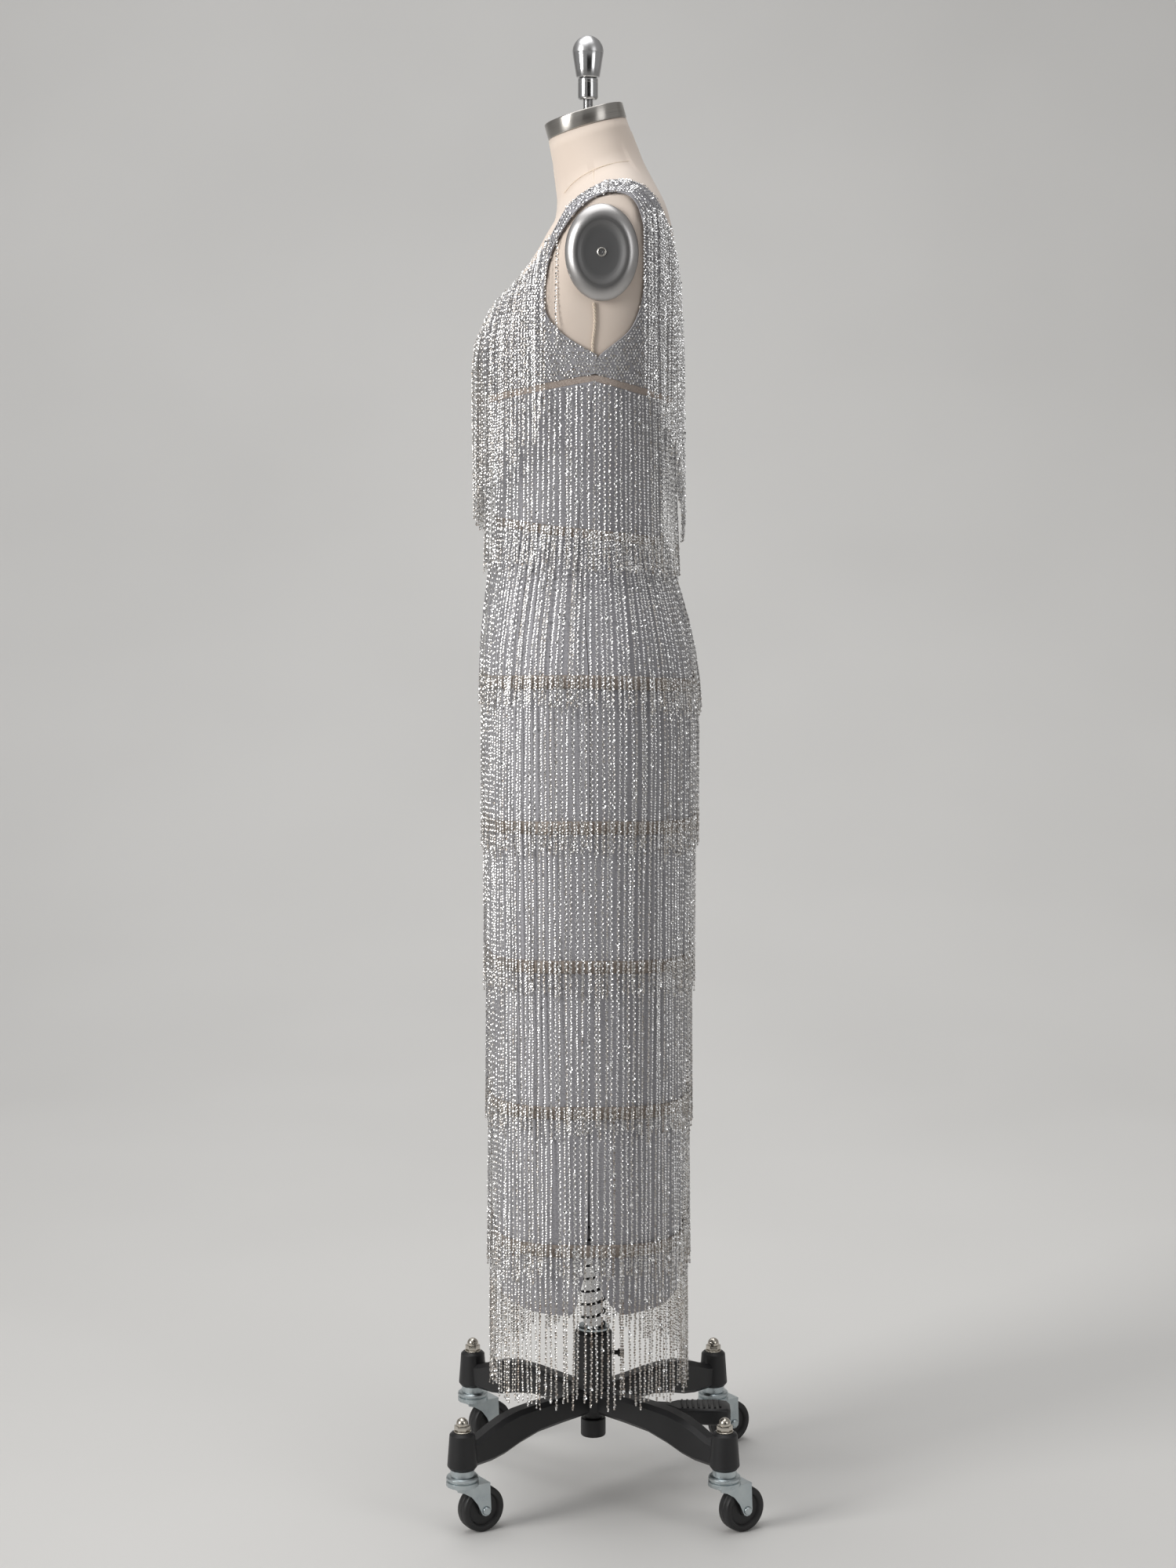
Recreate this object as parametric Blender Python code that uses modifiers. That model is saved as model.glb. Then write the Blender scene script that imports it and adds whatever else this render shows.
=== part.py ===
# Floor-length fringed dress worn by a limbless dress form, on a pole stand with four swivel castors.
# Metres. +Z is up, the front of the dress faces -Y, and the wearer's left is +X.
import math
from collections import namedtuple

import bmesh
import bpy
from mathutils import Vector

# Overall layout
AXIS_Y = -0.015  # the pole stands in front of the origin, because the castors trail backwards
GAP = 0.0003  # between pieces that touch
COLUMNS = 36  # facets round a ring of the skirt
SEAMED_COLUMNS = 48  # facets round the band and the midriff
BODY_COLUMNS = 60  # facets round the form and the bodice
FORM_ROWS = 22

# Dress form: horizontal rings from the hip to the neck. Near the shoulder a ring also leans, by slope,
# and rises at its sides, by side_lift. bust is how far the two cups stand out of the ring.
Ring = namedtuple("Ring", "level front back half_width square bust side_lift slope")
FORM = (
    Ring(0.8500, -0.1040, 0.1000, 0.1500, 2.30, 0.000, 0.0000, 0.000),
    Ring(0.8620, -0.1140, 0.1100, 0.1610, 2.30, 0.000, 0.0000, 0.000),
    Ring(0.9050, -0.1190, 0.1160, 0.1670, 2.30, 0.000, 0.0000, 0.000),
    Ring(0.9750, -0.1215, 0.1165, 0.1690, 2.30, 0.000, 0.0000, 0.000),
    Ring(1.0350, -0.1200, 0.1100, 0.1610, 2.30, 0.000, 0.0000, 0.000),
    Ring(1.1050, -0.1160, 0.0930, 0.1390, 2.25, 0.000, 0.0000, 0.000),
    Ring(1.1750, -0.1120, 0.0760, 0.1190, 2.20, 0.000, 0.0000, 0.000),
    Ring(1.2450, -0.1140, 0.0810, 0.1260, 2.25, 0.001, 0.0000, 0.000),
    Ring(1.3150, -0.1155, 0.0880, 0.1390, 2.35, 0.008, 0.0000, 0.000),
    Ring(1.3650, -0.1175, 0.0950, 0.1490, 2.45, 0.020, 0.0000, 0.000),
    Ring(1.3900, -0.1105, 0.0970, 0.1540, 2.50, 0.020, 0.0000, 0.000),
    Ring(1.4250, -0.0980, 0.0985, 0.1610, 2.60, 0.015, 0.0000, 0.000),
    Ring(1.4600, -0.0800, 0.0980, 0.1655, 2.75, 0.006, 0.0020, 0.010),
    Ring(1.4950, -0.0610, 0.0940, 0.1685, 2.90, 0.002, 0.0140, 0.060),
    Ring(1.5135, -0.0560, 0.0890, 0.1580, 2.80, 0.000, 0.0265, 0.129),
    Ring(1.5285, -0.0500, 0.0840, 0.1280, 2.50, 0.000, 0.0255, 0.216),
    Ring(1.5450, -0.0440, 0.0740, 0.0900, 2.20, 0.000, 0.0230, 0.300),
    Ring(1.5685, -0.0410, 0.0580, 0.0595, 2.00, 0.000, 0.0120, 0.475),
    Ring(1.6070, -0.0465, 0.0455, 0.0505, 2.00, 0.000, 0.0000, 0.350),
    Ring(1.6304, -0.0515, 0.0378, 0.0465, 2.00, 0.000, 0.0000, 0.285),
)
CUP_X, CUP_SPREAD = 0.080, 0.048  # middle of a bust cup from the centre line, and its width
ARM_FLAT_X = 0.1652  # the form is cut flat here, behind each arm plate
BORE_DEPTH = 0.06  # how far the rod goes up into the form

# Skirt, outer face of its cloth
SKIRT = (
    Ring(0.1450, -0.1190, 0.1085, 0.1550, 2.30, 0, 0, 0),
    Ring(0.2550, -0.1210, 0.1100, 0.1575, 2.30, 0, 0, 0),
    Ring(0.3550, -0.1222, 0.1112, 0.1590, 2.30, 0, 0, 0),
    Ring(0.5050, -0.1235, 0.1130, 0.1620, 2.30, 0, 0, 0),
    Ring(0.6550, -0.1250, 0.1150, 0.1660, 2.30, 0, 0, 0),
    Ring(0.8050, -0.1275, 0.1185, 0.1710, 2.30, 0, 0, 0),
    Ring(0.9050, -0.1290, 0.1210, 0.1735, 2.30, 0, 0, 0),
    Ring(0.9550, -0.1292, 0.1215, 0.1740, 2.30, 0, 0, 0),
    Ring(0.9950, -0.1290, 0.1195, 0.1715, 2.30, 0, 0, 0),
    Ring(1.0350, -0.1280, 0.1140, 0.1645, 2.30, 0, 0, 0),
    Ring(1.0700, -0.1255, 0.1060, 0.1540, 2.28, 0, 0, 0),
    Ring(1.1050, -0.1220, 0.0965, 0.1425, 2.25, 0, 0, 0),
    Ring(1.1400, -0.1180, 0.0865, 0.1310, 2.22, 0, 0, 0),
    Ring(1.1750, -0.1147, 0.0787, 0.1217, 2.20, 0, 0, 0),
    Ring(1.2000, -0.1148, 0.0800, 0.1230, 2.20, 0, 0, 0),
)
CLOTH = 0.0015  # wall of a cloth panel
OFF_FORM = 0.0016  # between the form and the cloth on it
BODICE_OFF_FORM = 0.0022
WAIST_LEVEL, WAIST_TILT = 1.172, 0.012  # the waist seam is higher in front than behind
ARM_SEAM = 95  # degrees from the centre front to the side seam, above the waist
UNDERBUST_SIDE, UNDERBUST_DROP = 1.346, 0.024  # the underbust seam peaks at each side seam
BAND_HEIGHT = 0.0075  # sheer band under the bust
HEM_LEVEL, SLIT_TOP = 0.260, 0.320
HEM_TUCK = 0.008  # how far the hem hangs inside the line of the skirt above it

# Half of each bodice panel, row by row from the underbust to the shoulder seam. Angles are degrees
# from the centre front or the centre back: near is the centre or neck edge, far the side or arm edge.
Cut = namedtuple("Cut", "near_angle near_level far_angle far_level")
BODICE_FRONT = (
    Cut(0, UNDERBUST_SIDE - UNDERBUST_DROP, ARM_SEAM, UNDERBUST_SIDE),
    Cut(0, 1.341, ARM_SEAM, 1.356),
    Cut(0, 1.363, ARM_SEAM, 1.367),
    Cut(0, 1.385, 78, 1.391),
    Cut(13, 1.407, 67, 1.412),
    Cut(27, 1.434, 60, 1.438),
    Cut(38, 1.466, 55, 1.466),
    Cut(44, 1.492, 54, 1.489),
    Cut(58, 1.514, 68, 1.505),
    Cut(75, 1.528, 80, 1.512),
    Cut(90, 1.534, 90, 1.516),
)
BODICE_BACK = (
    Cut(0, UNDERBUST_SIDE - UNDERBUST_DROP, 180 - ARM_SEAM, UNDERBUST_SIDE),
    Cut(0, 1.341, 180 - ARM_SEAM, 1.356),
    Cut(0, 1.361, 180 - ARM_SEAM, 1.367),
    Cut(9, 1.385, 69, 1.392),
    Cut(18, 1.417, 63.5, 1.420),
    Cut(25, 1.452, 65, 1.452),
    Cut(33, 1.486, 68, 1.486),
    Cut(46, 1.512, 72, 1.505),
    Cut(66, 1.528, 80, 1.513),
    Cut(90, 1.534, 90, 1.516),
)

# Fringe: each wall is the space its strands take up
STRAND = 0.0025
# The skirt tiers by their ends at the side seams; front and back are lower by the two drops
Tier = namedtuple("Tier", "name head end head_tilt end_drop")
SIDE_LIFT = 0.010
TIERS = (
    Tier("fringe_tier_1", 1.1715, 0.977, WAIST_TILT, 0.008),
    Tier("fringe_tier_2", 1.008, 0.809, 0.002, 0.000),
    Tier("fringe_tier_3", 0.843, 0.644, 0.0, 0.0),
    Tier("fringe_tier_4", 0.682, 0.480, 0.0, 0.0),
    Tier("fringe_tier_5", 0.511, 0.306, 0.0, 0.0),
    Tier("fringe_tier_6", 0.347, 0.160, 0.0, 0.0),
)
# Neckline fringe: where a strand starts on the bodice, as degrees from the centre and a level, and
# the height at which it ends
Strand = namedtuple("Strand", "angle level end")
NECK_FRONT = (
    Strand(0, 1.379, 1.177),
    Strand(10, 1.395, 1.180),
    Strand(20, 1.415, 1.196),
    Strand(29, 1.437, 1.222),
    Strand(36, 1.462, 1.250),
    Strand(42, 1.482, 1.275),
    Strand(50, 1.494, 1.300),
)
NECK_BACK = (
    Strand(0, 1.362, 1.160),
    Strand(10, 1.385, 1.172),
    Strand(20, 1.420, 1.200),
    Strand(29, 1.460, 1.232),
    Strand(38, 1.490, 1.262),
    Strand(49, 1.503, 1.287),
    Strand(61, 1.506, 1.310),
    Strand(72, 1.502, 1.330),
)

# Neck cap, knob and arm plates
CAP_RADIUS, CAP_HEIGHT, CAP_CROWN = 0.0471, 0.018, 0.003
KNOB_Y = -0.0064
ARM_PLATE_Y, ARM_PLATE_Z, ARM_PLATE_HALF_Y, ARM_PLATE_HALF_Z = 0.0088, 1.478, 0.041, 0.0535

# Stand
SOCKET_RADIUS, SOCKET_TOP, HUB_BOTTOM = 0.0228, 0.2005, 0.097
TUBE_RADIUS, TUBE_BORE, TUBE_BOTTOM, TUBE_TOP = 0.0121, 0.0105, 0.110, 0.500
ROD_RADIUS, ROD_BOTTOM = 0.0098, 0.200
COIL_WIRE, COIL_PITCH, COIL_TURNS = 0.0011, 0.016, 8
BOSS_REACH = 0.153  # boss centres, in X and in Y from the pole
BOSS_TOP, BOSS_BOTTOM, BOSS_TOP_RADIUS, BOSS_BOTTOM_RADIUS = 0.1235, 0.079, 0.0150, 0.0178
LegSection = namedtuple("LegSection", "reach half_width top bottom")
LEG = (
    LegSection(0.012, 0.0125, 0.1290, 0.0985),
    LegSection(0.060, 0.0122, 0.1295, 0.0980),
    LegSection(0.100, 0.0120, 0.1308, 0.0965),
    LegSection(0.132, 0.0118, 0.1300, 0.0900),
    LegSection(0.155, 0.0115, 0.1262, 0.0832),
    LegSection(0.175, 0.0112, 0.1200, 0.0800),
    LegSection(0.195, 0.0108, 0.1120, 0.0795),
    LegSection(0.212, 0.0100, 0.1080, 0.0795),
)
LEG_BEVEL = 0.005
PEDAL = (
    LegSection(0.0232, 0.0040, 0.1025, 0.0975),
    LegSection(0.0270, 0.0055, 0.1080, 0.0920),
    LegSection(0.0330, 0.0055, 0.1092, 0.0908),
    LegSection(0.0600, 0.0065, 0.1085, 0.0895),
    LegSection(0.0930, 0.0085, 0.1060, 0.0875),
    LegSection(0.1040, 0.0190, 0.1050, 0.0860),
    LegSection(0.1500, 0.0210, 0.1050, 0.0840),
    LegSection(0.1630, 0.0185, 0.1040, 0.0850),
    LegSection(0.1670, 0.0120, 0.1020, 0.0880),
)
PEDAL_BEVEL = 0.0025

# Castors, all swivelled the same way
TRAIL_ANGLE = math.radians(123)  # direction in which a wheel trails, from +X
TRAIL = 0.0245
WHEEL_RADIUS, WHEEL_HALF_WIDTH, WHEEL_STEPS = 0.0275, 0.0095, 24
WHEEL_CENTRE_Z = WHEEL_RADIUS * math.cos(math.pi / WHEEL_STEPS)  # it rests on one facet
AXLE_RADIUS = 0.0032
FORK_INSIDE, FORK_PLATE = 0.0115, 0.0020
RACE_RADIUS = 0.0192
CORNERS = {"front_left": (1, -1), "front_right": (-1, -1), "back_left": (1, 1), "back_right": (-1, 1)}


def hermite(start, end, start_slope, end_slope, t):
    return (
        start * (1 + 2 * t) * (1 - t) ** 2
        + start_slope * t * (1 - t) ** 2
        + end * t * t * (3 - 2 * t)
        - end_slope * t * t * (1 - t)
    )


def row_at(rows, level):
    """The row at any level: a smooth curve through each column, held at the two ends."""
    level = min(max(level, rows[0][0]), rows[-1][0])
    upper = next(i for i in range(1, len(rows)) if level <= rows[i][0] + 1e-12)
    low, high = rows[upper - 1], rows[upper]
    before, after = rows[max(upper - 2, 0)], rows[min(upper + 1, len(rows) - 1)]
    span = high[0] - low[0]
    t = (level - low[0]) / span
    return type(low)(
        *(
            hermite(
                low[i],
                high[i],
                (high[i] - before[i]) / (high[0] - before[0]) * span,
                (after[i] - low[i]) / (after[0] - low[0]) * span,
                t,
            )
            for i in range(len(low))
        )
    )


def signed_power(value, power):
    return math.copysign(abs(value) ** power, value)


def ring_point(row, angle, out=0.0):
    """A point of a ring. angle 0 is the front and a quarter turn is the wearer's left."""
    across, ahead = math.sin(angle), math.cos(angle)
    power = 2 / row.square
    middle, reach = (row.front + row.back) / 2, (row.back - row.front) / 2
    x = (row.half_width + out) * signed_power(across, power)
    y = middle - (reach + out) * signed_power(ahead, power)
    y -= row.bust * math.exp(-(((abs(x) - CUP_X) / CUP_SPREAD) ** 2)) * min(max(3 * ahead, 0), 1)
    return Vector((x, y, row.level + row.slope * (y - middle) + row.side_lift * across**2))


def form_point(level, angle, out=0.0):
    """A point of the form's surface, moved out along the surface's normal."""
    point = ring_point(row_at(FORM, level), angle)
    if not out:
        return point
    step = 0.002
    sideways = ring_point(row_at(FORM, level), angle + step) - ring_point(row_at(FORM, level), angle - step)
    upwards = ring_point(row_at(FORM, level + step), angle) - ring_point(row_at(FORM, level - step), angle)
    return point + sideways.cross(upwards).normalized() * out


def skirt_point(level, angle, out=0.0):
    return ring_point(row_at(SKIRT, level), angle, out)


def from_centre(angle_degrees, back):
    """Degrees from the centre front, or from the centre back, as an angle round the ring."""
    return math.radians(180 - angle_degrees if back else angle_degrees)


def seamed_angle(across):
    """Angle round a closed ring, from 0 to 1 across it, with a column on each side seam."""
    side = math.radians(ARM_SEAM)
    if across < 0.5:
        return lerp(-side, side, across * 2)
    return lerp(side, 2 * math.pi - side, across * 2 - 1)


def underbust_level(angle):
    """Nearly straight lines, as seen from the side, that peak at the side seams."""
    peak = math.cos(math.radians(ARM_SEAM))
    away = abs(math.cos(angle) - peak) / (1 - peak if math.cos(angle) > peak else 1 + peak)
    return UNDERBUST_SIDE - UNDERBUST_DROP * away**0.85


def waist_level(angle):
    return WAIST_LEVEL + WAIST_TILT * math.cos(angle)


def body_edge(direction, level, out):
    """Distance from the middle of the form's ring to its surface, in one direction seen from above."""
    row = row_at(FORM, level)
    middle = (row.front + row.back) / 2
    low, high = 0.0, math.pi
    for _ in range(24):
        guess = (low + high) / 2
        point = ring_point(row, guess, out)
        if math.atan2(abs(point.x), -(point.y - middle)) < direction:
            low = guess
        else:
            high = guess
    return math.hypot(point.x, point.y - middle), middle


def hang(start, end_level, out, rows):
    """Points down a strand: it drops plumb, except where the body pushes it outwards."""
    x, y, top = start
    points = [Vector(start)]
    fine = 6
    for i in range(1, rows * fine + 1):
        level = top + (end_level - top) * i / (rows * fine)
        direction = math.atan2(abs(x), -(y - (row_at(FORM, level).front + row_at(FORM, level).back) / 2))
        edge, middle = body_edge(direction, level, out)
        reach = math.hypot(x, y - middle)
        if reach < edge:
            x, y = x * edge / reach, middle + (y - middle) * edge / reach
        if i % fine == 0:
            points.append(Vector((x, y, level)))
    return points


def lerp(a, b, t):
    return a + (b - a) * t


# ---------- scene, materials and objects ----------

for old in list(bpy.data.objects):
    bpy.data.objects.remove(old, do_unlink=True)

part = bpy.data.collections.new("fringed dress on dress form")
helpers = bpy.data.collections.new("cutters")
bpy.context.scene.collection.children.link(part)
bpy.context.scene.collection.children.link(helpers)
pole_axis = bpy.data.objects.new("pole_axis", None)
pole_axis.location = (0, AXIS_Y, 0)
part.objects.link(pole_axis)


def material(name, colour, roughness, metallic=0.0):
    made = bpy.data.materials.get(name) or bpy.data.materials.new(name)
    made.use_nodes = True
    shader = made.node_tree.nodes["Principled BSDF"]
    shader.inputs["Base Color"].default_value = (*colour, 1)
    shader.inputs["Roughness"].default_value = roughness
    shader.inputs["Metallic"].default_value = metallic
    return made


KNIT = ("silver sequin knit", (0.36, 0.36, 0.40), 0.55)
MESH_TAPE = ("nude mesh tape", (0.55, 0.45, 0.38), 0.80)
SEQUIN = ("silver sequin fringe", (0.72, 0.71, 0.70), 0.25, 0.8)
LINEN = ("cream form jersey", (0.80, 0.69, 0.60), 0.85)
BRUSHED = ("brushed steel", (0.55, 0.54, 0.52), 0.30, 1.0)
POLISHED = ("polished aluminium", (0.75, 0.75, 0.76), 0.15, 1.0)
IRON = ("black coated cast iron", (0.02, 0.02, 0.02), 0.45)
ZINC = ("zinc plated steel", (0.52, 0.56, 0.58), 0.32, 1.0)
RUBBER = ("black rubber", (0.02, 0.02, 0.02), 0.60)
NICKEL = ("nickel plated brass", (0.70, 0.66, 0.60), 0.20, 1.0)


def link(name, mesh, look=None, parent=pole_axis, smooth_angle=40):
    """Puts a mesh in the scene as an object, or as a hidden helper where it has no look."""
    made = bpy.data.objects.new(name, mesh)
    (part if look else helpers).objects.link(made)
    made.parent = parent
    if look:
        mesh.materials.append(material(*look))
        mesh.shade_smooth()
        mesh.set_sharp_from_angle(angle=math.radians(smooth_angle))
    else:
        made.hide_render = True
        made.display_type = "WIRE"
    return made


def mesh_from(bm, name):
    mesh = bpy.data.meshes.new(name)
    bm.to_mesh(mesh)
    bm.free()
    return mesh


def grid(name, columns, rows, place, closed=False, capped=False):
    """A grid whose points are moved to place(across, up), both from 0 to 1."""
    bm = bmesh.new()
    bmesh.ops.create_grid(bm, x_segments=columns, y_segments=rows, size=0.5)
    for vert in bm.verts:
        vert.co = place(vert.co.x + 0.5, vert.co.y + 0.5)
    if closed:
        bmesh.ops.remove_doubles(bm, verts=bm.verts, dist=1e-6)
    if capped:
        bmesh.ops.holes_fill(bm, edges=bm.edges, sides=0)
        bmesh.ops.recalc_face_normals(bm, faces=bm.faces)
    else:
        bm.normal_update()
        outwards = sum(face.normal.xy.dot(face.calc_center_median().xy) for face in bm.faces)
        if outwards < 0:
            bmesh.ops.reverse_faces(bm, faces=bm.faces)
    return mesh_from(bm, name)


def thicken(obj, thickness, outwards=True):
    wall = obj.modifiers.new("Wall", "SOLIDIFY")
    wall.thickness = thickness
    wall.offset = 1 if outwards else -1
    wall.use_even_offset = True
    return obj


def mirror_x(obj):
    halves = obj.modifiers.new("Other half", "MIRROR")
    halves.use_mirror_merge = True
    halves.merge_threshold = 0.0001


def cut(obj, other, operation="DIFFERENCE"):
    modifier = obj.modifiers.new(f"{operation.title()} {other.name}", "BOOLEAN")
    modifier.operation = operation
    modifier.object = other


def turned(name, profile, look=None, steps=32, closed=False, parent=pole_axis):
    """A profile of (radius, height) points, down its outer side, turned round Z."""
    bm = bmesh.new()
    verts = [bm.verts.new((radius, 0, height)) for radius, height in profile]
    for first, second in zip(verts, verts[1:] + verts[:1] if closed else verts[1:]):
        bm.edges.new((first, second))
    made = link(name, mesh_from(bm, name), look, parent)
    screw = made.modifiers.new("Turn", "SCREW")
    screw.steps = screw.render_steps = steps
    screw.use_merge_vertices = True
    screw.merge_threshold = 0.0001
    return made


def box(name, low, high, look=None, parent=pole_axis):
    bm = bmesh.new()
    bmesh.ops.create_cube(bm, size=1)
    low, high = Vector(low), Vector(high)
    for vert in bm.verts:
        vert.co = Vector((low[i] if vert.co[i] < 0 else high[i]) for i in range(3))
    return link(name, mesh_from(bm, name), look, parent)


def beam(name, sections, bevel, to_place, look=None, parent=pole_axis):
    """A bar through sections, each a box with its four long edges cut off."""

    def corner(across, up):
        section = sections[round(up * (len(sections) - 1))]
        b = min(bevel, section.half_width * 0.8, (section.top - section.bottom) * 0.4)
        w, low, high = section.half_width, section.bottom, section.top
        outline = (
            (w, high - b), (w - b, high), (b - w, high), (-w, high - b),
            (-w, low + b), (b - w, low), (w - b, low), (w, low + b),
        )
        sideways, height = outline[round(across * 8) % 8]
        return to_place(section.reach, sideways, height)

    mesh = grid(name, 8, len(sections) - 1, corner, closed=True, capped=True)
    return link(name, mesh, look, parent)


# ---------- dress form ----------


def make_form():
    top, bottom = FORM[-1].level, FORM[0].level
    rows = [lerp(bottom, top, i / FORM_ROWS) for i in range(FORM_ROWS + 1)]
    levels = sorted({row.level for row in FORM} | set(rows))
    spaced = [levels[0]]
    for level in levels[1:-1]:
        keeps = any(abs(level - row.level) < 1e-9 for row in FORM)
        if keeps or min(abs(level - row.level) for row in FORM) > 0.014:
            spaced.append(level)
    spaced.append(levels[-1])

    def place(across, up):
        return form_point(spaced[round(up * (len(spaced) - 1))], 2 * math.pi * across)

    mesh = grid("dress_form_torso", BODY_COLUMNS, len(spaced) - 1, place, closed=True, capped=True)
    torso = link("dress_form_torso", mesh, LINEN)
    for side in (1, -1):
        far = 0.25 * side
        near = ARM_FLAT_X * side
        cut(torso, box(f"arm_flat_{side}", (min(near, far), -0.3, 1.30), (max(near, far), 0.3, 1.60)))
    bore = ROD_RADIUS + GAP
    depth = FORM[0].level + BORE_DEPTH
    cut(torso, turned("rod_bore", [(0, depth), (bore, depth), (bore, 0.80), (0, 0.80)], steps=24))


def make_neck_cap():
    lean = math.atan(FORM[-1].slope)
    centre_y = (FORM[-1].front + FORM[-1].back) / 2
    edge = 0.0012
    profile = [(0, CAP_HEIGHT + CAP_CROWN)]
    for share in (0.35, 0.7, 0.93):
        profile.append((CAP_RADIUS * share, CAP_HEIGHT + CAP_CROWN * (1 - share**2)))
    profile += [(CAP_RADIUS, CAP_HEIGHT - edge), (CAP_RADIUS, edge), (CAP_RADIUS - edge, 0), (0, 0)]
    cap = turned("neck_cap", profile, BRUSHED, steps=COLUMNS)
    cap.rotation_euler = (lean, 0, 0)
    cap.location = (0, centre_y - GAP * math.sin(lean), FORM[-1].level + GAP * math.cos(lean))
    stud_radius, stud_bottom, sleeve_bottom, knob_bottom, knob_top = 0.0060, 1.6450, 1.6640, 1.6890, 1.7370
    hole = turned(
        "stud_hole",
        [(0, 1.70), (stud_radius + GAP, 1.70), (stud_radius + GAP, stud_bottom - GAP), (0, stud_bottom - GAP)],
        steps=16,
    )
    hole.location = (0, KNOB_Y, 0)
    cut(cap, hole)
    sleeve = turned(
        "knob_sleeve",
        [
            (0, knob_bottom - GAP), (0.0104, knob_bottom - GAP), (0.0116, knob_bottom - 0.0015),
            (0.0116, sleeve_bottom + 0.0025), (0.0098, sleeve_bottom), (stud_radius, sleeve_bottom),
            (stud_radius, stud_bottom), (0, stud_bottom),
        ],
        POLISHED,
        steps=24,
    )
    sleeve.location = (0, KNOB_Y, 0)
    shoulder, radius, foot = 1.7185, 0.0180, 0.0136
    dome = [
        (radius * math.cos(math.radians(a)), shoulder + (knob_top - shoulder) * math.sin(math.radians(a)))
        for a in (90, 68, 45, 22, 0)
    ]
    dome[0] = (0, knob_top)
    knob = turned(
        "neck_knob", dome + [(foot, knob_bottom + 0.001), (foot - 0.001, knob_bottom), (0, knob_bottom)],
        POLISHED, steps=24,
    )
    knob.location = (0, KNOB_Y, 0)


def make_arm_plates():
    dish = [
        (0, 0.0075), (0.50, 0.0078), (0.64, 0.0110), (0.76, 0.0125), (0.88, 0.0108),
        (0.97, 0.0062), (1.0, 0.0020), (0.985, 0), (0, 0),
    ]
    screw = [(0, 0.0090), (0.0040, 0.0090), (0.0048, 0.0082), (0.0048, 0.0078), (0, 0.0078)]
    for side, name in ((1, "left"), (-1, "right")):
        plate = turned(f"arm_plate_{name}", dish, BRUSHED, steps=COLUMNS)
        plate.rotation_euler = (0, side * math.pi / 2, 0)
        plate.scale = (ARM_PLATE_HALF_Z, ARM_PLATE_HALF_Y, 1)
        plate.location = (side * (ARM_FLAT_X + GAP), ARM_PLATE_Y, ARM_PLATE_Z)
        head = turned(f"arm_screw_{name}", screw, POLISHED, steps=16)
        head.rotation_euler = plate.rotation_euler
        head.location = (side * (ARM_FLAT_X + 2 * GAP), ARM_PLATE_Y, ARM_PLATE_Z)


# ---------- dress ----------


def make_bodice(name, cuts, back):
    """Half a panel between its near and far edges, mirrored, then given its wall."""
    seam = math.degrees(GAP / 2 / 0.15)  # half the gap at a side seam
    join = GAP / 2  # half the gap at the shoulder seam and above the band

    def place(across, up):
        position = up * (len(cuts) - 1)
        below = min(int(position), len(cuts) - 2)
        row = Cut(*(lerp(a, b, position - below) for a, b in zip(cuts[below], cuts[below + 1])))
        far = row.far_angle - seam
        near = min(row.near_angle, far)
        share = 1 - across if back else across
        angle = from_centre(lerp(near, far, share), back)
        level = lerp(row.near_level, row.far_level, share) + (join if up == 0 else 0)
        if position < 1:
            hem = underbust_level(angle) + join
            level = lerp(hem, lerp(cuts[1].near_level, cuts[1].far_level, share), position)
        return form_point(level, angle, BODICE_OFF_FORM)

    panel = link(name, grid(name, 12, 15, place), KNIT)
    mirror_x(panel)
    thicken(panel, CLOTH)


def make_band():
    def place(across, up):
        angle = seamed_angle(across)
        level = underbust_level(angle) - BAND_HEIGHT * (1 - up) - GAP / 2
        return form_point(level, angle, OFF_FORM)

    mesh = grid("underbust_band", SEAMED_COLUMNS, 1, place, closed=True)
    thicken(link("underbust_band", mesh, MESH_TAPE), CLOTH)


def make_midriff(name, back):
    seam = GAP / 2 / 0.13

    def place(across, up):
        side = math.radians(lerp(90, ARM_SEAM, up))
        half = (math.pi - side if back else side) - seam
        angle = lerp(-half, half, across) + (math.pi if back else 0)
        top = underbust_level(angle) - BAND_HEIGHT - 1.5 * GAP
        return form_point(lerp(waist_level(angle) + 1.5 * GAP, top, up), angle, OFF_FORM)

    thicken(link(name, grid(name, SEAMED_COLUMNS // 2, 4, place), KNIT), CLOTH)


Slit = namedtuple("Slit", "level front back")  # how far each panel's edge lies from the side seam, in degrees
SLIT = (
    Slit(HEM_LEVEL, 10, 19),
    Slit(HEM_LEVEL + 0.003, 7.5, 15.5),
    Slit(HEM_LEVEL + 0.012, 5.5, 11),
    Slit(HEM_LEVEL + 0.030, 4, 5.5),
    Slit(SLIT_TOP, 0, 0),
)
SKIRT_LEVELS = (0.50, 0.70, 0.86, 0.93, 0.99, 1.04, 1.08, 1.12)


def make_skirt(name, back):
    seam = math.degrees(GAP / 2 / 0.15)
    levels = [row.level for row in SLIT] + list(SKIRT_LEVELS)

    def place(across, up):
        row = round(up * len(levels))
        level = levels[min(row, len(levels) - 1)]
        edge = SLIT[min(row, len(SLIT) - 1)]
        opening = edge.back if back else edge.front
        half = 90 - max(seam, opening)
        angle = math.radians(lerp(-half, half, across) + (180 if back else 0))
        if row == len(levels):
            level = waist_level(angle) - GAP / 2
        tuck = HEM_TUCK * max(0, 0.345 - level) / (0.345 - HEM_LEVEL)
        return skirt_point(level, angle, -CLOTH - tuck)

    thicken(link(name, grid(name, COLUMNS // 2, len(levels), place), KNIT), CLOTH)


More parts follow.
